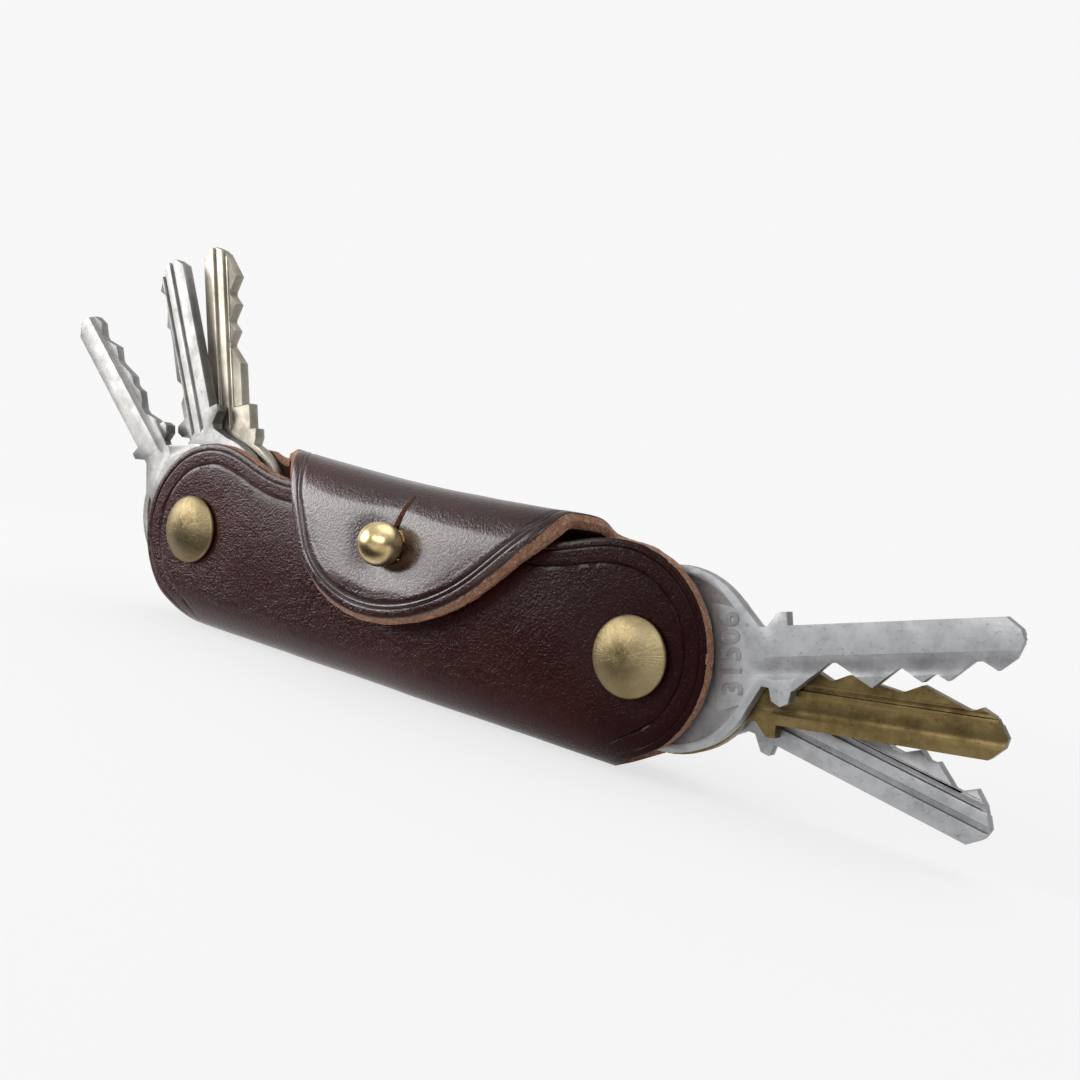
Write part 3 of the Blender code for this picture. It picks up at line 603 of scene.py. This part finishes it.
def makeRawEdge():
    # cut edge of the hide: tan, fibrous, with burgundy soaked in from the grain side
    material, tree, shader = newMaterial("raw hide edge")
    place = addNode(tree, "TexCoord").outputs["Object"]
    fibre = noiseNode(tree, place, 1900, 5, 0.78, 0.9)
    broad = noiseNode(tree, place, 330, 3, 0.6)
    tone = rampNode(tree, fibre, ((0.30, (0.16, 0.055, 0.030)), (0.5, (0.52, 0.25, 0.145)),
                                  (0.70, (0.85, 0.57, 0.40))))
    tone = mixColor(tree, rangeNode(tree, broad, 0.45, 0.7, 0, 0.5), tone, (0.24, 0.080, 0.045))
    tree.links.new(tone, shader.inputs["Base Color"])
    shader.inputs["Roughness"].default_value = 0.85
    normal = bumpNode(tree, fibre, 0.0006, 1.0)
    tree.links.new(normal, shader.inputs["Normal"])
    return material


def makeFlesh():
    # the inside of the hide: napped brown
    material, tree, shader = newMaterial("hide flesh side")
    place = addNode(tree, "TexCoord").outputs["Object"]
    nap = noiseNode(tree, place, 1700, 5, 0.7, 0.4)
    tone = rampNode(tree, nap, ((0.3, (0.055, 0.020, 0.012)), (0.7, (0.17, 0.075, 0.045))))
    tree.links.new(tone, shader.inputs["Base Color"])
    shader.inputs["Roughness"].default_value = 0.9
    tree.links.new(bumpNode(tree, nap, 0.0002, 0.8), shader.inputs["Normal"])
    return material


def makeHide():
    h = hideShape
    leathers = [makeLeather(), makeRawEdge(), makeFlesh()]
    through = (-4, 2)                          # a cut through the flat hide, from below it to above it
    whole = flatHide()
    front = -alongHide(h["studZ"])
    for side in (-1, 1):
        for place in (-1, 1):
            centre = (side * h["posts"], place * alongHide(h["postZ"]), 0)
            whole = boolean(whole, cylinderTool(centre, h["postHole"], *through))
    whole = boolean(whole, cylinderTool((h["studX"], front, 0), h["studHole"], *through, 32))
    whole = boolean(whole, cylinderTool(
        (h["studX"], front, 0), h["studSeat"], through[0], h["seatDepth"] - h["thickness"], 40))
    button = next(row for row in flapRows if row[1] < 0 and row[2] <= h["studZ"])[0]
    whole = boolean(whole, cylinderTool((h["studX"], button, 0), h["buttonRadius"], *through, 56))
    # the slit runs up from the hole, leaning as the tongue does, and closes to a point
    wide, long = h["slitWidth"] / 2, h["slitLength"]
    slit = prismTool([(-wide, 1), (wide, 1), (wide * 0.5, long - 1.0), (wide * 0.3, long),
                      (-wide * 0.3, long), (-wide * 0.5, long - 1.0)], *through)
    bmesh.ops.transform(slit, matrix=Matrix.Translation((h["studX"], button, 0)) @ Matrix.Rotation(
        math.pi + math.atan(h["slitLean"]), 4, "Z"), verts=slit.verts)
    whole = boolean(whole, slit)
    copy = whole.copy()
    case = foldHide(boolean(whole, prismTool(flapOutline(), -5, 3)))
    flap = foldHide(boolean(copy, prismTool(flapOutline(), -5, 3), "INTERSECT"))
    finishPiece("caseHide", case, "case", leathers, ["leather_case"])
    piece = finishPiece("flapHide", flap, None, leathers, ["closure_flap"])
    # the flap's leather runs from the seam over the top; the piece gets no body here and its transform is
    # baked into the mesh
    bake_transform(piece)
    print("hide made:", len(piece.data.polygons), "flap faces")


makeHide()


fittings = {
    "head": 5.5, "rim": 0.5, "dome": 1.7, "barrel": 2.5, "screw": 1.4, "bore": 1.55, "face": 6.6,
    "barrelLength": 12.5, "threadLength": 6.0, "screwLength": 6.4, "slotWidth": 1.2, "slotDepth": 0.9,
    "slotReach": 4.1, "ball": 3.3, "reach": 4.5, "neck": 1.6, "collar": 2.2, "collarHeight": 0.5,
    "studBore": 1.05, "studFoot": 1.5,
}


def makeBrass(name, centre, turned=True):
    # satin brass with a brushed sunburst on the heads, a painted dark reflection in the middle of the crowns,
    # and a little tarnish
    material, tree, shader = newMaterial(name)
    place = addNode(tree, "TexCoord").outputs["Object"]
    local = addNode(tree, "Mapping", sockets={
        "Vector": place, "Location": tuple(-c * mm for c in centre)}).outputs[0]
    cloud = noiseNode(tree, place, 330, 4, 0.65)
    fine = noiseNode(tree, place, 2400, 3, 0.7)
    shine = 0.42 if turned else 1.15
    tone = rampNode(tree, cloud, [(at, tuple(shine * c for c in tint)) for at, tint in (
        (0.28, (0.50, 0.37, 0.17)), (0.5, (0.70, 0.55, 0.30)), (0.72, (0.82, 0.68, 0.40)))])
    tone = mixColor(tree, rangeNode(tree, fine, 0.56, 0.72, 0, 0.5), tone, (0.28, 0.19, 0.085))
    shader.inputs["Metallic"].default_value = 1.0
    if turned:
        axes = addNode(tree, "SeparateXYZ", sockets={0: local})
        angle = mathNode(tree, "ARCTAN2", axes.outputs[2], axes.outputs[0])
        spoke = addNode(tree, "CombineXYZ", sockets={
            0: mathNode(tree, "MULTIPLY", mathNode(tree, "SINE", angle), 9.0),
            1: mathNode(tree, "MULTIPLY", mathNode(tree, "COSINE", angle), 9.0)}).outputs[0]
        streak = noiseNode(tree, spoke, 3.0, 4, 0.75)
        fleck = noiseNode(tree, place, 1300, 2, 0.6)
        streak = mathNode(tree, "ADD", mathNode(tree, "MULTIPLY", streak, 0.6),
                          mathNode(tree, "MULTIPLY", fleck, 0.5))
        tone = mixColor(tree, rangeNode(tree, streak, 0.4, 0.7, 0.0, 0.6), tone, (0.32, 0.25, 0.125))
        # the middle of the crown is painted dark: a painted reflection of the dim room in front
        squares = [mathNode(tree, "POWER", axes.outputs[i], 2.0) for i in (0, 2)]
        fromMiddle = mathNode(tree, "SQRT", mathNode(tree, "ADD", *squares))
        dark = mathNode(tree, "MULTIPLY", rangeNode(tree, fromMiddle, 0.0006, 0.0036, 0.95, 0),
                        rangeNode(tree, cloud, 0.3, 0.6, 1, 0.6))
        tone = mixColor(tree, dark, tone, (0.075, 0.056, 0.024))
        tree.links.new(bumpNode(tree, streak, 0.00012, 0.8), shader.inputs["Normal"])
        tree.links.new(rangeNode(tree, streak, 0.4, 0.7, 0.34, 0.46), shader.inputs["Roughness"])
    else:
        tree.links.new(bumpNode(tree, fine, 0.00003, 0.4), shader.inputs["Normal"])
        tree.links.new(rangeNode(tree, cloud, 0.3, 0.7, 0.33, 0.24), shader.inputs["Roughness"])
    tree.links.new(tone, shader.inputs["Base Color"])
    return material


def lathe(profile, steps=96):
    # profile of radius and height in mm turned about Z, closed on the axis
    solid = bmesh.new()
    verts = [solid.verts.new((radius, 0, height)) for radius, height in profile]
    edges = [solid.edges.new(pair) for pair in zip(verts, verts[1:])]
    bmesh.ops.spin(
        solid, geom=verts + edges, axis=(0, 0, 1), cent=(0, 0, 0), angle=math.tau, steps=steps,
        use_merge=True)
    bmesh.ops.remove_doubles(solid, verts=solid.verts, dist=1e-4)
    bmesh.ops.recalc_face_normals(solid, faces=solid.faces)
    return solid


def headProfile():
    # crown, rounded rim and flat underside of a post's head
    f = fittings
    ball = (f["head"] ** 2 + f["dome"] ** 2) / (2 * f["dome"])
    edge = math.asin((f["head"] - 0.2) / ball)
    points = [(ball * math.sin(edge * i / 20), f["rim"] + f["dome"] - ball + ball * math.cos(edge * i / 20))
              for i in range(21)]
    x, z = points[-1]
    points += [(f["head"] - 0.06, z - 0.16), (f["head"], z - 0.36),
               (f["head"] - 0.02, 0.12), (f["head"] - 0.14, 0)]
    return points


def standUp(solid, x, y, z, towards):
    # lays a lathed piece's axis along Y, its top to the front (-1) or the back (1)
    turn = Matrix.Rotation(math.pi / 2 if towards < 0 else -math.pi / 2, 4, "X")
    bmesh.ops.transform(solid, matrix=Matrix.Translation((x, y, z)) @ turn, verts=solid.verts)


def makeFittings():
    f, h = fittings, hideShape
    for side, name in ((-1, "left"), (1, "right")):
        x = side * h["posts"]
        brass = makeBrass(name + " brass", (x, 0, h["postZ"]))
        floor = -f["barrelLength"]
        depth = floor + f["threadLength"]
        post = lathe(headProfile() + [
            (f["barrel"], 0), (f["barrel"], floor), (f["bore"], floor), (f["bore"], depth), (0, depth)])
        standUp(post, x, -f["face"], h["postZ"], -1)
        bmesh.ops.scale(post, vec=(mm, mm, mm), verts=post.verts)
        finishPiece(name + "Post", post, "case", [brass], [name + "_post"])
        shank = [(f["screw"], 0), (f["screw"], -f["screwLength"]), (0, -f["screwLength"])]
        screw = lathe(headProfile() + shank)
        standUp(screw, x, f["face"], h["postZ"], 1)
        crown = f["face"] + f["rim"] + f["dome"]
        screw = boolean(screw, boxTool(
            (x - f["slotReach"], crown - f["slotDepth"], h["postZ"] - f["slotWidth"] / 2),
            (x + f["slotReach"], crown + 1, h["postZ"] + f["slotWidth"] / 2)))
        bmesh.ops.scale(screw, vec=(mm, mm, mm), verts=screw.verts)
        finishPiece(name + "PostScrew", screw, "case", [brass], [name + "_post_screw"])
    ball, neck, collar, foot, bore = (f[key] for key in ("ball", "neck", "collar", "studFoot", "studBore"))
    top = f["collarHeight"]
    low = math.atan2(neck, -math.sqrt(ball ** 2 - neck ** 2))
    profile = [(ball * math.sin(low * i / 40), f["reach"] + ball * math.cos(low * i / 40)) for i in range(41)]
    profile += [(neck, top), (collar - 0.1, top), (collar, top - 0.1), (collar, 0), (neck, 0),
                (neck, -foot), (bore, -foot), (bore, top), (0, top)]
    stud = lathe(profile)
    standUp(stud, h["studX"], -f["face"], h["studZ"], -1)
    bmesh.ops.scale(stud, vec=(mm, mm, mm), verts=stud.verts)
    ballBrass = makeBrass("ball brass", (h["studX"], 0, h["studZ"]), False)
    finishPiece("ballStud", stud, "case", [ballBrass], ["closure_stud"])
    cadNodes["stud_screw"].data.materials.clear()
    cadNodes["stud_screw"].data.materials.append(ballBrass)
    print("fittings made")


makeFittings()


bladeGrooves = {
    # middle off the blade's middle line towards the spine, width and depth, all in mm
    "deep": {"front": ((-1.65, 2.9, 0.62),), "step": (-1.2, 0.2), "back": ((0.95, 1.3, 0.5),)},
    "broad": {
        "front": ((0.95, 2.7, 0.5), (-1.5, 1.0, 0.4)), "step": (-2.1, 0.2), "back": ((-0.95, 1.3, 0.5),)},
    "twin": {
        "front": ((0.9, 1.3, 0.45), (-1.3, 1.1, 0.5)), "step": (-2.0, 0.2), "back": ((-0.95, 1.3, 0.5),)},
}
keySettings = {
    "key_right_front": {
        "side": 1, "angle": 15.7, "cut": -1, "line": -0.4, "offset": -0.4, "back": 4.4, "bow": 12.2,
        "metal": "steel", "grooves": "deep", "number": "31506"},
    "key_right_middle": {
        "side": 1, "angle": 7.0, "cut": 1, "line": -2.9, "offset": -0.4, "back": 4.0, "bow": 12.2,
        "metal": "brass", "grooves": "broad", "number": ""},
    "key_right_back": {
        "side": 1, "angle": -10.2, "cut": 1, "line": -0.2, "offset": -0.2, "back": 3.4, "bow": 11.2,
        "metal": "steel", "grooves": "twin", "number": ""},
    "key_left_front": {
        "side": -1, "angle": 139.9, "cut": -1, "line": 1.0, "offset": 1.2, "back": 4.6, "bow": 11.6,
        "metal": "dull", "grooves": "deep", "number": ""},
    "key_left_middle": {
        "side": -1, "angle": 118.2, "cut": 1, "line": 0.0, "offset": 0.2, "back": 4.2, "bow": 11.9,
        "metal": "dull", "grooves": "twin", "number": ""},
    "key_left_back": {
        "side": -1, "angle": 107.0, "cut": -1, "line": -0.5, "offset": -0.6, "back": 4.2, "bow": 11.6,
        "metal": "nickel", "grooves": "twin", "number": ""},
}
keyMetals = {
    "steel": {
        "dark": (0.305, 0.309, 0.318), "light": (0.465, 0.469, 0.478), "stain": (0.16, 0.16, 0.165),
        "rough": (0.46, 0.54)},
    # the right keys' steel painted darker for the keys on the left: a painted shade
    "dull": {
        "dark": (0.25, 0.245, 0.24), "light": (0.38, 0.37, 0.36), "stain": (0.16, 0.16, 0.16),
        "rough": (0.46, 0.54)},
    # the number's metal is painted darker, a painted shade standing in for the shadow around the raised
    # digits
    "stamped": {
        "dark": (0.20, 0.205, 0.215), "light": (0.33, 0.335, 0.345), "stain": (0.12, 0.12, 0.12),
        "rough": (0.5, 0.6)},
    "brass": {
        "dark": (0.085, 0.057, 0.021), "light": (0.22, 0.16, 0.068), "stain": (0.035, 0.024, 0.012),
        "rough": (0.32, 0.5)},
    "nickel": {
        "dark": (0.24, 0.22, 0.18), "light": (0.41, 0.38, 0.32), "stain": (0.20, 0.18, 0.14),
        "rough": (0.38, 0.46)},
}
keyForm = {
    "thickness": 2.0, "recess": 0.25, "rimWidth": 1.1, "grooveStart": 15.5, "bladeStart": 19.5,
    # the flat pad for the number: where it starts and its half widths there and at the blade
    "padStart": 10.6, "padWide": 6.9, "padNarrow": 4.6, "edgeBevel": 0.09,
}
numberForm = {
    "size": 3.9, "spacing": 1.12, "raised": 0.10, "heavier": 0.035, "bevel": 0.05, "place": (13.0, 0.3)}


def makeKeyMetal(name, settings, middle=None):
    # worn metal with scratches along the blade and small stains, painted darker below the faces as painted
    # shade in the grooves and recesses
    look = keyMetals[settings["metal"]]
    material, tree, shader = newMaterial(name)
    place = addNode(tree, "TexCoord").outputs["Object"]
    along = addNode(tree, "Mapping", sockets={
        "Vector": place, "Rotation": (0, math.radians(settings["angle"]), 0)}).outputs[0]
    drawn = addNode(tree, "Mapping", sockets={"Vector": along, "Scale": (0.06, 1, 1)}).outputs[0]
    scratch = noiseNode(tree, drawn, 4200, 3, 0.6)
    wide = noiseNode(tree, drawn, 900, 3, 0.6)
    cloud = noiseNode(tree, place, 260, 5, 0.65)
    tone = rampNode(tree, cloud, ((0.30, look["dark"]), (0.62, look["light"])))
    tone = mixColor(tree, rangeNode(tree, wide, 0.45, 0.7, 0.0, 0.35), tone, look["light"])
    spots = noiseNode(tree, place, 1700, 3, 0.6)
    tone = mixColor(tree, rangeNode(tree, spots, 0.60, 0.74, 0.0, 0.6), tone, look["stain"])
    if middle is not None:
        # painted shade: the metal is darker the deeper it lies below the faces, in grooves and recesses
        across = addNode(tree, "SeparateXYZ", sockets={0: place}).outputs[1]
        across = mathNode(tree, "ABSOLUTE", mathNode(tree, "SUBTRACT", across, middle))
        face = keyForm["thickness"] / 2
        grooveShade = rangeNode(tree, across, (face - 0.08) * mm, (face - 0.55) * mm, 0.0, 0.75)
        grooveShade = mathNode(tree, "MULTIPLY", grooveShade, rangeNode(tree, cloud, 0.3, 0.6, 1.0, 0.6))
        tone = mixColor(tree, grooveShade, tone, look["stain"])
    tree.links.new(tone, shader.inputs["Base Color"])
    shader.inputs["Metallic"].default_value = 1.0
    smooth, rough = look["rough"]
    tree.links.new(rangeNode(tree, cloud, 0.3, 0.7, rough, smooth), shader.inputs["Roughness"])
    normal = bumpNode(tree, scratch, 0.00003, 0.35)
    normal = bumpNode(tree, spots, 0.00008, 0.25, normal)
    tree.links.new(normal, shader.inputs["Normal"])
    return material


def keyBlank(node, settings):
    # the key's own outline, taken from the middle of the CAD node and laid with its hole at 0, 0
    blank = bmesh.new()
    blank.from_mesh(cadNodes[node].data)
    bmesh.ops.remove_doubles(blank, verts=blank.verts, dist=1e-7)
    low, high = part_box(node)
    middle = (low.y + high.y) / 2
    bmesh.ops.bisect_plane(
        blank, geom=blank.verts[:] + blank.edges[:] + blank.faces[:], plane_co=(0, middle, 0),
        plane_no=(0, 1, 0), dist=1e-7, clear_inner=True, clear_outer=True)
    lay = Matrix.Diagonal((1000, 1000, 1000, 1)) @ Matrix.Rotation(math.radians(settings["angle"]), 4, "Y")
    hole = Vector((settings["side"] * hideShape["posts"] * mm, middle, hideShape["postZ"] * mm))
    lay = lay @ Matrix.Translation(-hole)
    bmesh.ops.transform(blank, matrix=lay, verts=blank.verts)
    bmesh.ops.remove_doubles(blank, verts=blank.verts, dist=0.01)
    straight = []
    for vert in list(blank.verts):
        if len(vert.link_edges) != 2:
            continue
        first, second = (edge.other_vert(vert).co - vert.co for edge in vert.link_edges)
        if first.angle(second, 0) > math.pi - 0.01:
            straight.append(vert)
    bmesh.ops.dissolve_verts(blank, verts=straight)
    bmesh.ops.triangle_fill(blank, use_beauty=True, edges=blank.edges, normal=(0, -1, 0))
    grown = bmesh.ops.extrude_face_region(blank, geom=blank.faces[:], use_keep_orig=True)
    lifted = [v for v in grown["geom"] if isinstance(v, bmesh.types.BMVert)]
    bmesh.ops.translate(blank, vec=(0, keyForm["thickness"], 0), verts=lifted)
    bmesh.ops.translate(blank, vec=(0, -keyForm["thickness"] / 2, 0), verts=blank.verts)
    bmesh.ops.recalc_face_normals(blank, faces=blank.faces)
    return blank, middle, lay.inverted()


def grooveTool(start, end, middle, width, depth, face, runOut=2.6):
    # a milled groove with sloping walls that rises out of the metal at its start
    inward = 1 if face == "front" else -1
    surface = -inward * keyForm["thickness"] / 2
    near, far = sorted((surface - inward, surface + inward * depth))
    tool = boxTool((start, near, middle - width / 2), (end, far, middle + width / 2))
    for vert in tool.verts:
        deep = abs(vert.co.y - (surface + inward * depth)) < 1e-4
        if deep:
            vert.co.z = middle + (vert.co.z - middle) * 0.55
            if vert.co.x < start + 0.1:
                vert.co.x += runOut
    return tool


def channelTool(start, end, middle, width, depth, face, runOut=3.0):
    # a wide concave channel, round in section, that also rises out at its start
    half = keyForm["thickness"] / 2
    out = -1 if face == "front" else 1
    radius = (width * width / 4 + depth * depth) / (2 * depth)
    tool = cylinderTool((0, 0, 0), radius, start, end, 96)
    bmesh.ops.transform(tool, matrix=Matrix.Rotation(math.pi / 2, 4, "Y"), verts=tool.verts)
    bmesh.ops.translate(tool, vec=(0, out * (half + radius - depth), middle), verts=tool.verts)
    bmesh.ops.bisect_plane(
        tool, geom=tool.verts[:] + tool.edges[:] + tool.faces[:], plane_co=(start + runOut, 0, 0),
        plane_no=(1, 0, 0), dist=1e-5)
    for vert in tool.verts:
        if vert.co.x < start + 0.1:
            vert.co.y += out * depth
    return tool


def makeKey(node, settings):
    k, line = keyForm, settings["line"]
    blank, middle, back = keyBlank(node, settings)
    flip = -settings["cut"]
    half = k["thickness"] / 2
    tip = max(v.co.x for v in blank.verts) + 1
    pocket = settings["bow"] - k["rimWidth"]
    for face in ("front", "back"):
        low, high = (-half - 1, k["recess"] - half) if face == "front" else (half - k["recess"], half + 1)
        recess = cylinderTool((settings["back"], 0, settings["offset"]), pocket, low, high, 72, "Y")
        pad = prismTool([
            (k["padStart"], -k["padWide"]), (k["bladeStart"], -k["padNarrow"]),
            (k["bladeStart"], k["padNarrow"]), (k["padStart"], k["padWide"])], low - 1, high + 1, "Y")
        bmesh.ops.translate(pad, vec=(0, 0, line), verts=pad.verts)
        recess = boolean(recess, pad)
        blank = boolean(blank, recess)
    grooves = bladeGrooves[settings["grooves"]]
    stepZ, stepDepth = grooves["step"]
    low, high = sorted((line + flip * stepZ, line - flip * 7))
    step = boxTool((k["bladeStart"], -half - 1, low), (tip, -half + stepDepth, high))
    for vert in step.verts:
        if vert.co.x < k["bladeStart"] + 0.5 and vert.co.y > -half:
            vert.co.x += 1.5                   # the step runs out in a slope
    blank = boolean(blank, step)
    for face in ("front", "back"):
        for off, width, depth in grooves[face]:
            shape = channelTool if width > 2 else grooveTool
            blank = boolean(blank, shape(k["grooveStart"], tip, line + flip * off, width, depth, face))
    bmesh.ops.remove_doubles(blank, verts=blank.verts, dist=0.004)
    bmesh.ops.dissolve_limit(
        blank, angle_limit=math.radians(1), verts=blank.verts, edges=blank.edges)
    sharp = [e for e in blank.edges if len(e.link_faces) == 2 and e.calc_face_angle(0) > math.radians(28)]
    bmesh.ops.bevel(
        blank, geom=sharp, offset=k["edgeBevel"], offset_type="OFFSET", segments=2, profile=0.5,
        affect="EDGES", clamp_overlap=True, material=-1)
    bmesh.ops.transform(blank, matrix=back, verts=blank.verts)
    metal = makeKeyMetal(node.replace("_", " ") + " metal", settings, middle)
    words = node.split("_")
    name = words[0] + "".join(word.capitalize() for word in words[1:])
    finishPiece(name, blank, node, [metal], [node], sharp=30)
    if settings["number"]:
        # the digits get the darker number metal: painted shade
        paintedShade = makeKeyMetal("number metal with painted shade", dict(settings, metal="stamped"))
        stampNumber(name + "Number", node, settings, back, paintedShade)


def stampNumber(name, node, settings, back, metal):
    # plain raised digits that read up the pad beside the shoulder
    n = numberForm
    text = bpy.data.curves.new(name, "FONT")
    text.body = settings["number"]
    text.size = n["size"]
    text.space_character = n["spacing"]
    text.extrude = n["raised"]
    text.offset = n["heavier"]
    text.bevel_depth = n["bevel"]
    text.align_x = "CENTER"
    text.align_y = "CENTER"
    holder = bpy.data.objects.new(name, text)
    bpy.context.scene.collection.objects.link(holder)
    graph = bpy.context.evaluated_depsgraph_get()
    graph.update()
    mesh = bpy.data.meshes.new_from_object(holder.evaluated_get(graph))
    bpy.data.objects.remove(holder)
    digits = bmesh.new()
    digits.from_mesh(mesh)
    bmesh.ops.remove_doubles(digits, verts=digits.verts, dist=1e-4)
    # text lies in X and Y and faces +Z: stand it up, turn it to read upwards, put it on the front face
    turn = Matrix.Rotation(-math.pi / 2, 4, "Y") @ Matrix.Rotation(math.pi / 2, 4, "X")
    along, above = n["place"]
    place = Matrix.Translation((along, -keyForm["thickness"] / 2 - 0.01, settings["line"] + above))
    bmesh.ops.transform(digits, matrix=back @ place @ turn, verts=digits.verts)
    finishPiece(name, digits, node, [metal], [], sharp=40)


for node, settings in keySettings.items():
    makeKey(node, settings)
    print("key made:", node)

washerMetal = makeKeyMetal("washer steel", {"metal": "steel", "angle": 0})
for name, piece in cadNodes.items():
    if "washer" in name:
        piece.data.materials.clear()
        piece.data.materials.append(washerMetal)


# the photo's own frame: the case leans back on a level table
photoFrame = {
    "lean": 18.46, "azimuth": 35.62, "elevation": 20.02, "focal": 1345.0, "distance": 171.3,
    "target": (31.54, 0.0, 30.17),
}
fromPhoto = Matrix.Translation((0, -6.5 * mm, 0)) @ Matrix.Rotation(math.radians(photoFrame["lean"]), 4, "X")


def makeCamera():
    p = photoFrame
    around, up = math.radians(p["azimuth"]), math.radians(p["elevation"])
    away = Vector((math.sin(around) * math.cos(up), -math.cos(around) * math.cos(up), math.sin(up)))
    place = (Vector(p["target"]) + away * p["distance"]) * mm
    turn = away.to_track_quat("Z", "Y").to_matrix().to_4x4()
    data = bpy.data.cameras.new("camera")
    data.sensor_width = 36
    data.lens = 36 * p["focal"] / 1080
    data.clip_start = 0.005
    camera = bpy.data.objects.new("camera", data)
    camera.matrix_world = fromPhoto @ Matrix.Translation(place) @ turn
    bpy.context.scene.collection.objects.link(camera)
    bpy.context.scene.camera = camera


studio = {
    "backdrop": (0.935, 0.935, 0.935), "floor": 0.92, "fadeFrom": 0.03, "fadeTo": 0.17,
    # where each soft light stands, in metres, its size and its power; False for one that is only mirrored
    "lights": (
        ("windowLight", (-0.480, -0.344, 0.185), (0.44, 0.31), 2.7, True),
        ("frontLight", (0.04, -0.53, 0.28), (0.17, 0.17), 0.5, False),
        ("cameraLight", (0.36, -0.48, 0.32), (0.40, 0.30), 1.2, False),
        ("topLight", (0.05, 0.10, 0.62), (0.60, 0.60), 1.1, True),
    ),
    # brightness of the walls around: overhead, behind, in front, and what the far floor in front gives back
    "zenith": 0.70, "behind": 0.80, "front": 0.04, "leftward": 0.6, "ground": 0.50, "farFloor": 0.02,
    "dimAcross": (-0.008, -0.024), "dimBeside": (0.054, 0.040), "plainFloor": 0.76,
}


def makeFloor():
    s = studio
    floor = bmesh.new()
    bmesh.ops.create_grid(floor, x_segments=8, y_segments=8, size=4)
    mesh = bpy.data.meshes.new("floor")
    floor.to_mesh(mesh)
    floor.free()
    piece = bpy.data.objects.new("floor", mesh)
    bpy.context.scene.collection.objects.link(piece)
    material, tree, shader = newMaterial("floor paper")
    shader.inputs["Base Color"].default_value = (s["floor"], s["floor"], s["floor"], 1)
    shader.inputs["Roughness"].default_value = 0.9
    shader.inputs["Specular IOR Level"].default_value = 0.1
    place = addNode(tree, "TexCoord").outputs["Object"]
    away = addNode(tree, "VectorMath", {"operation": "LENGTH"}, {0: place}).outputs["Value"]
    fade = rangeNode(tree, away, s["fadeFrom"], s["fadeTo"], 0, 1)
    path = addNode(tree, "LightPath").outputs
    seen = mathNode(tree, "ADD", path["Is Camera Ray"], path["Is Glossy Ray"], True)
    # mirrored in the metal and the hide, the floor is as pale as the backdrop behind and dimmer in front
    axes = addNode(tree, "SeparateXYZ", sockets={0: place}).outputs
    dim = mathNode(tree, "MULTIPLY", rangeNode(tree, axes[1], *s["dimAcross"], 0, 1), path["Is Glossy Ray"])
    besideCase = mathNode(tree, "SUBTRACT", mathNode(tree, "MULTIPLY", axes[0], 0.81),
                          mathNode(tree, "MULTIPLY", axes[1], 0.59))
    dim = mathNode(tree, "MULTIPLY", dim, rangeNode(tree, besideCase, *s["dimBeside"], 0, 1))
    tone = mixColor(tree, dim, s["backdrop"], (s["farFloor"],) * 3)
    glow = addNode(tree, "Emission", sockets={"Color": tone, "Strength": 1.0})
    plain = mathNode(tree, "MULTIPLY", mathNode(tree, "MAXIMUM", fade, s["plainFloor"]), seen)
    mix = addNode(tree, "MixShader", sockets={
        0: mathNode(tree, "MAXIMUM", plain, dim), 1: shader.outputs[0], 2: glow.outputs[0]})
    tree.links.new(mix.outputs[0], tree.nodes["Material Output"].inputs["Surface"])
    mesh.materials.append(material)


def makeLights():
    s = studio
    for name, place, size, power, diffuse in s["lights"]:
        data = bpy.data.lights.new(name, "AREA")
        data.shape = "RECTANGLE"
        data.size, data.size_y = size
        data.energy = power
        light = bpy.data.objects.new(name, data)
        aim = (Vector(place) - Vector((0.01, 0, 0.02))).to_track_quat("Z", "Y").to_matrix().to_4x4()
        light.matrix_world = Matrix.Translation(place) @ aim
        light.visible_diffuse = diffuse
        bpy.context.scene.collection.objects.link(light)
    world = bpy.data.worlds.new("studio")
    bpy.context.scene.world = world
    world.use_nodes = True
    tree = world.node_tree
    background = tree.nodes["Background"]
    way = addNode(tree, "TexCoord").outputs["Generated"]
    axes = addNode(tree, "SeparateXYZ", sockets={0: way}).outputs
    side = mathNode(tree, "SUBTRACT", axes[1], mathNode(tree, "MULTIPLY", axes[0], s["leftward"]))
    around = rangeNode(tree, side, -0.25, 0.35, s["front"], s["behind"])
    overhead = rangeNode(tree, axes[2], 0.25, 0.85, 0, 1)
    below = rangeNode(tree, axes[2], -0.02, -0.2, 0, 1)
    wall = addNode(tree, "CombineColor", sockets={0: around, 1: around, 2: around}).outputs[0]
    level = mixColor(tree, overhead, wall, (s["zenith"],) * 3)
    level = mixColor(tree, below, level, (s["ground"],) * 3)
    path = addNode(tree, "LightPath").outputs
    tone = mixColor(tree, path["Is Camera Ray"], level, s["backdrop"])
    tree.links.new(tone, background.inputs["Color"])
    background.inputs["Strength"].default_value = 1.0
    bpy.context.scene.view_settings.view_transform = "Standard"


makeCamera()
makeFloor()
makeLights()
print("camera, floor and lights made")
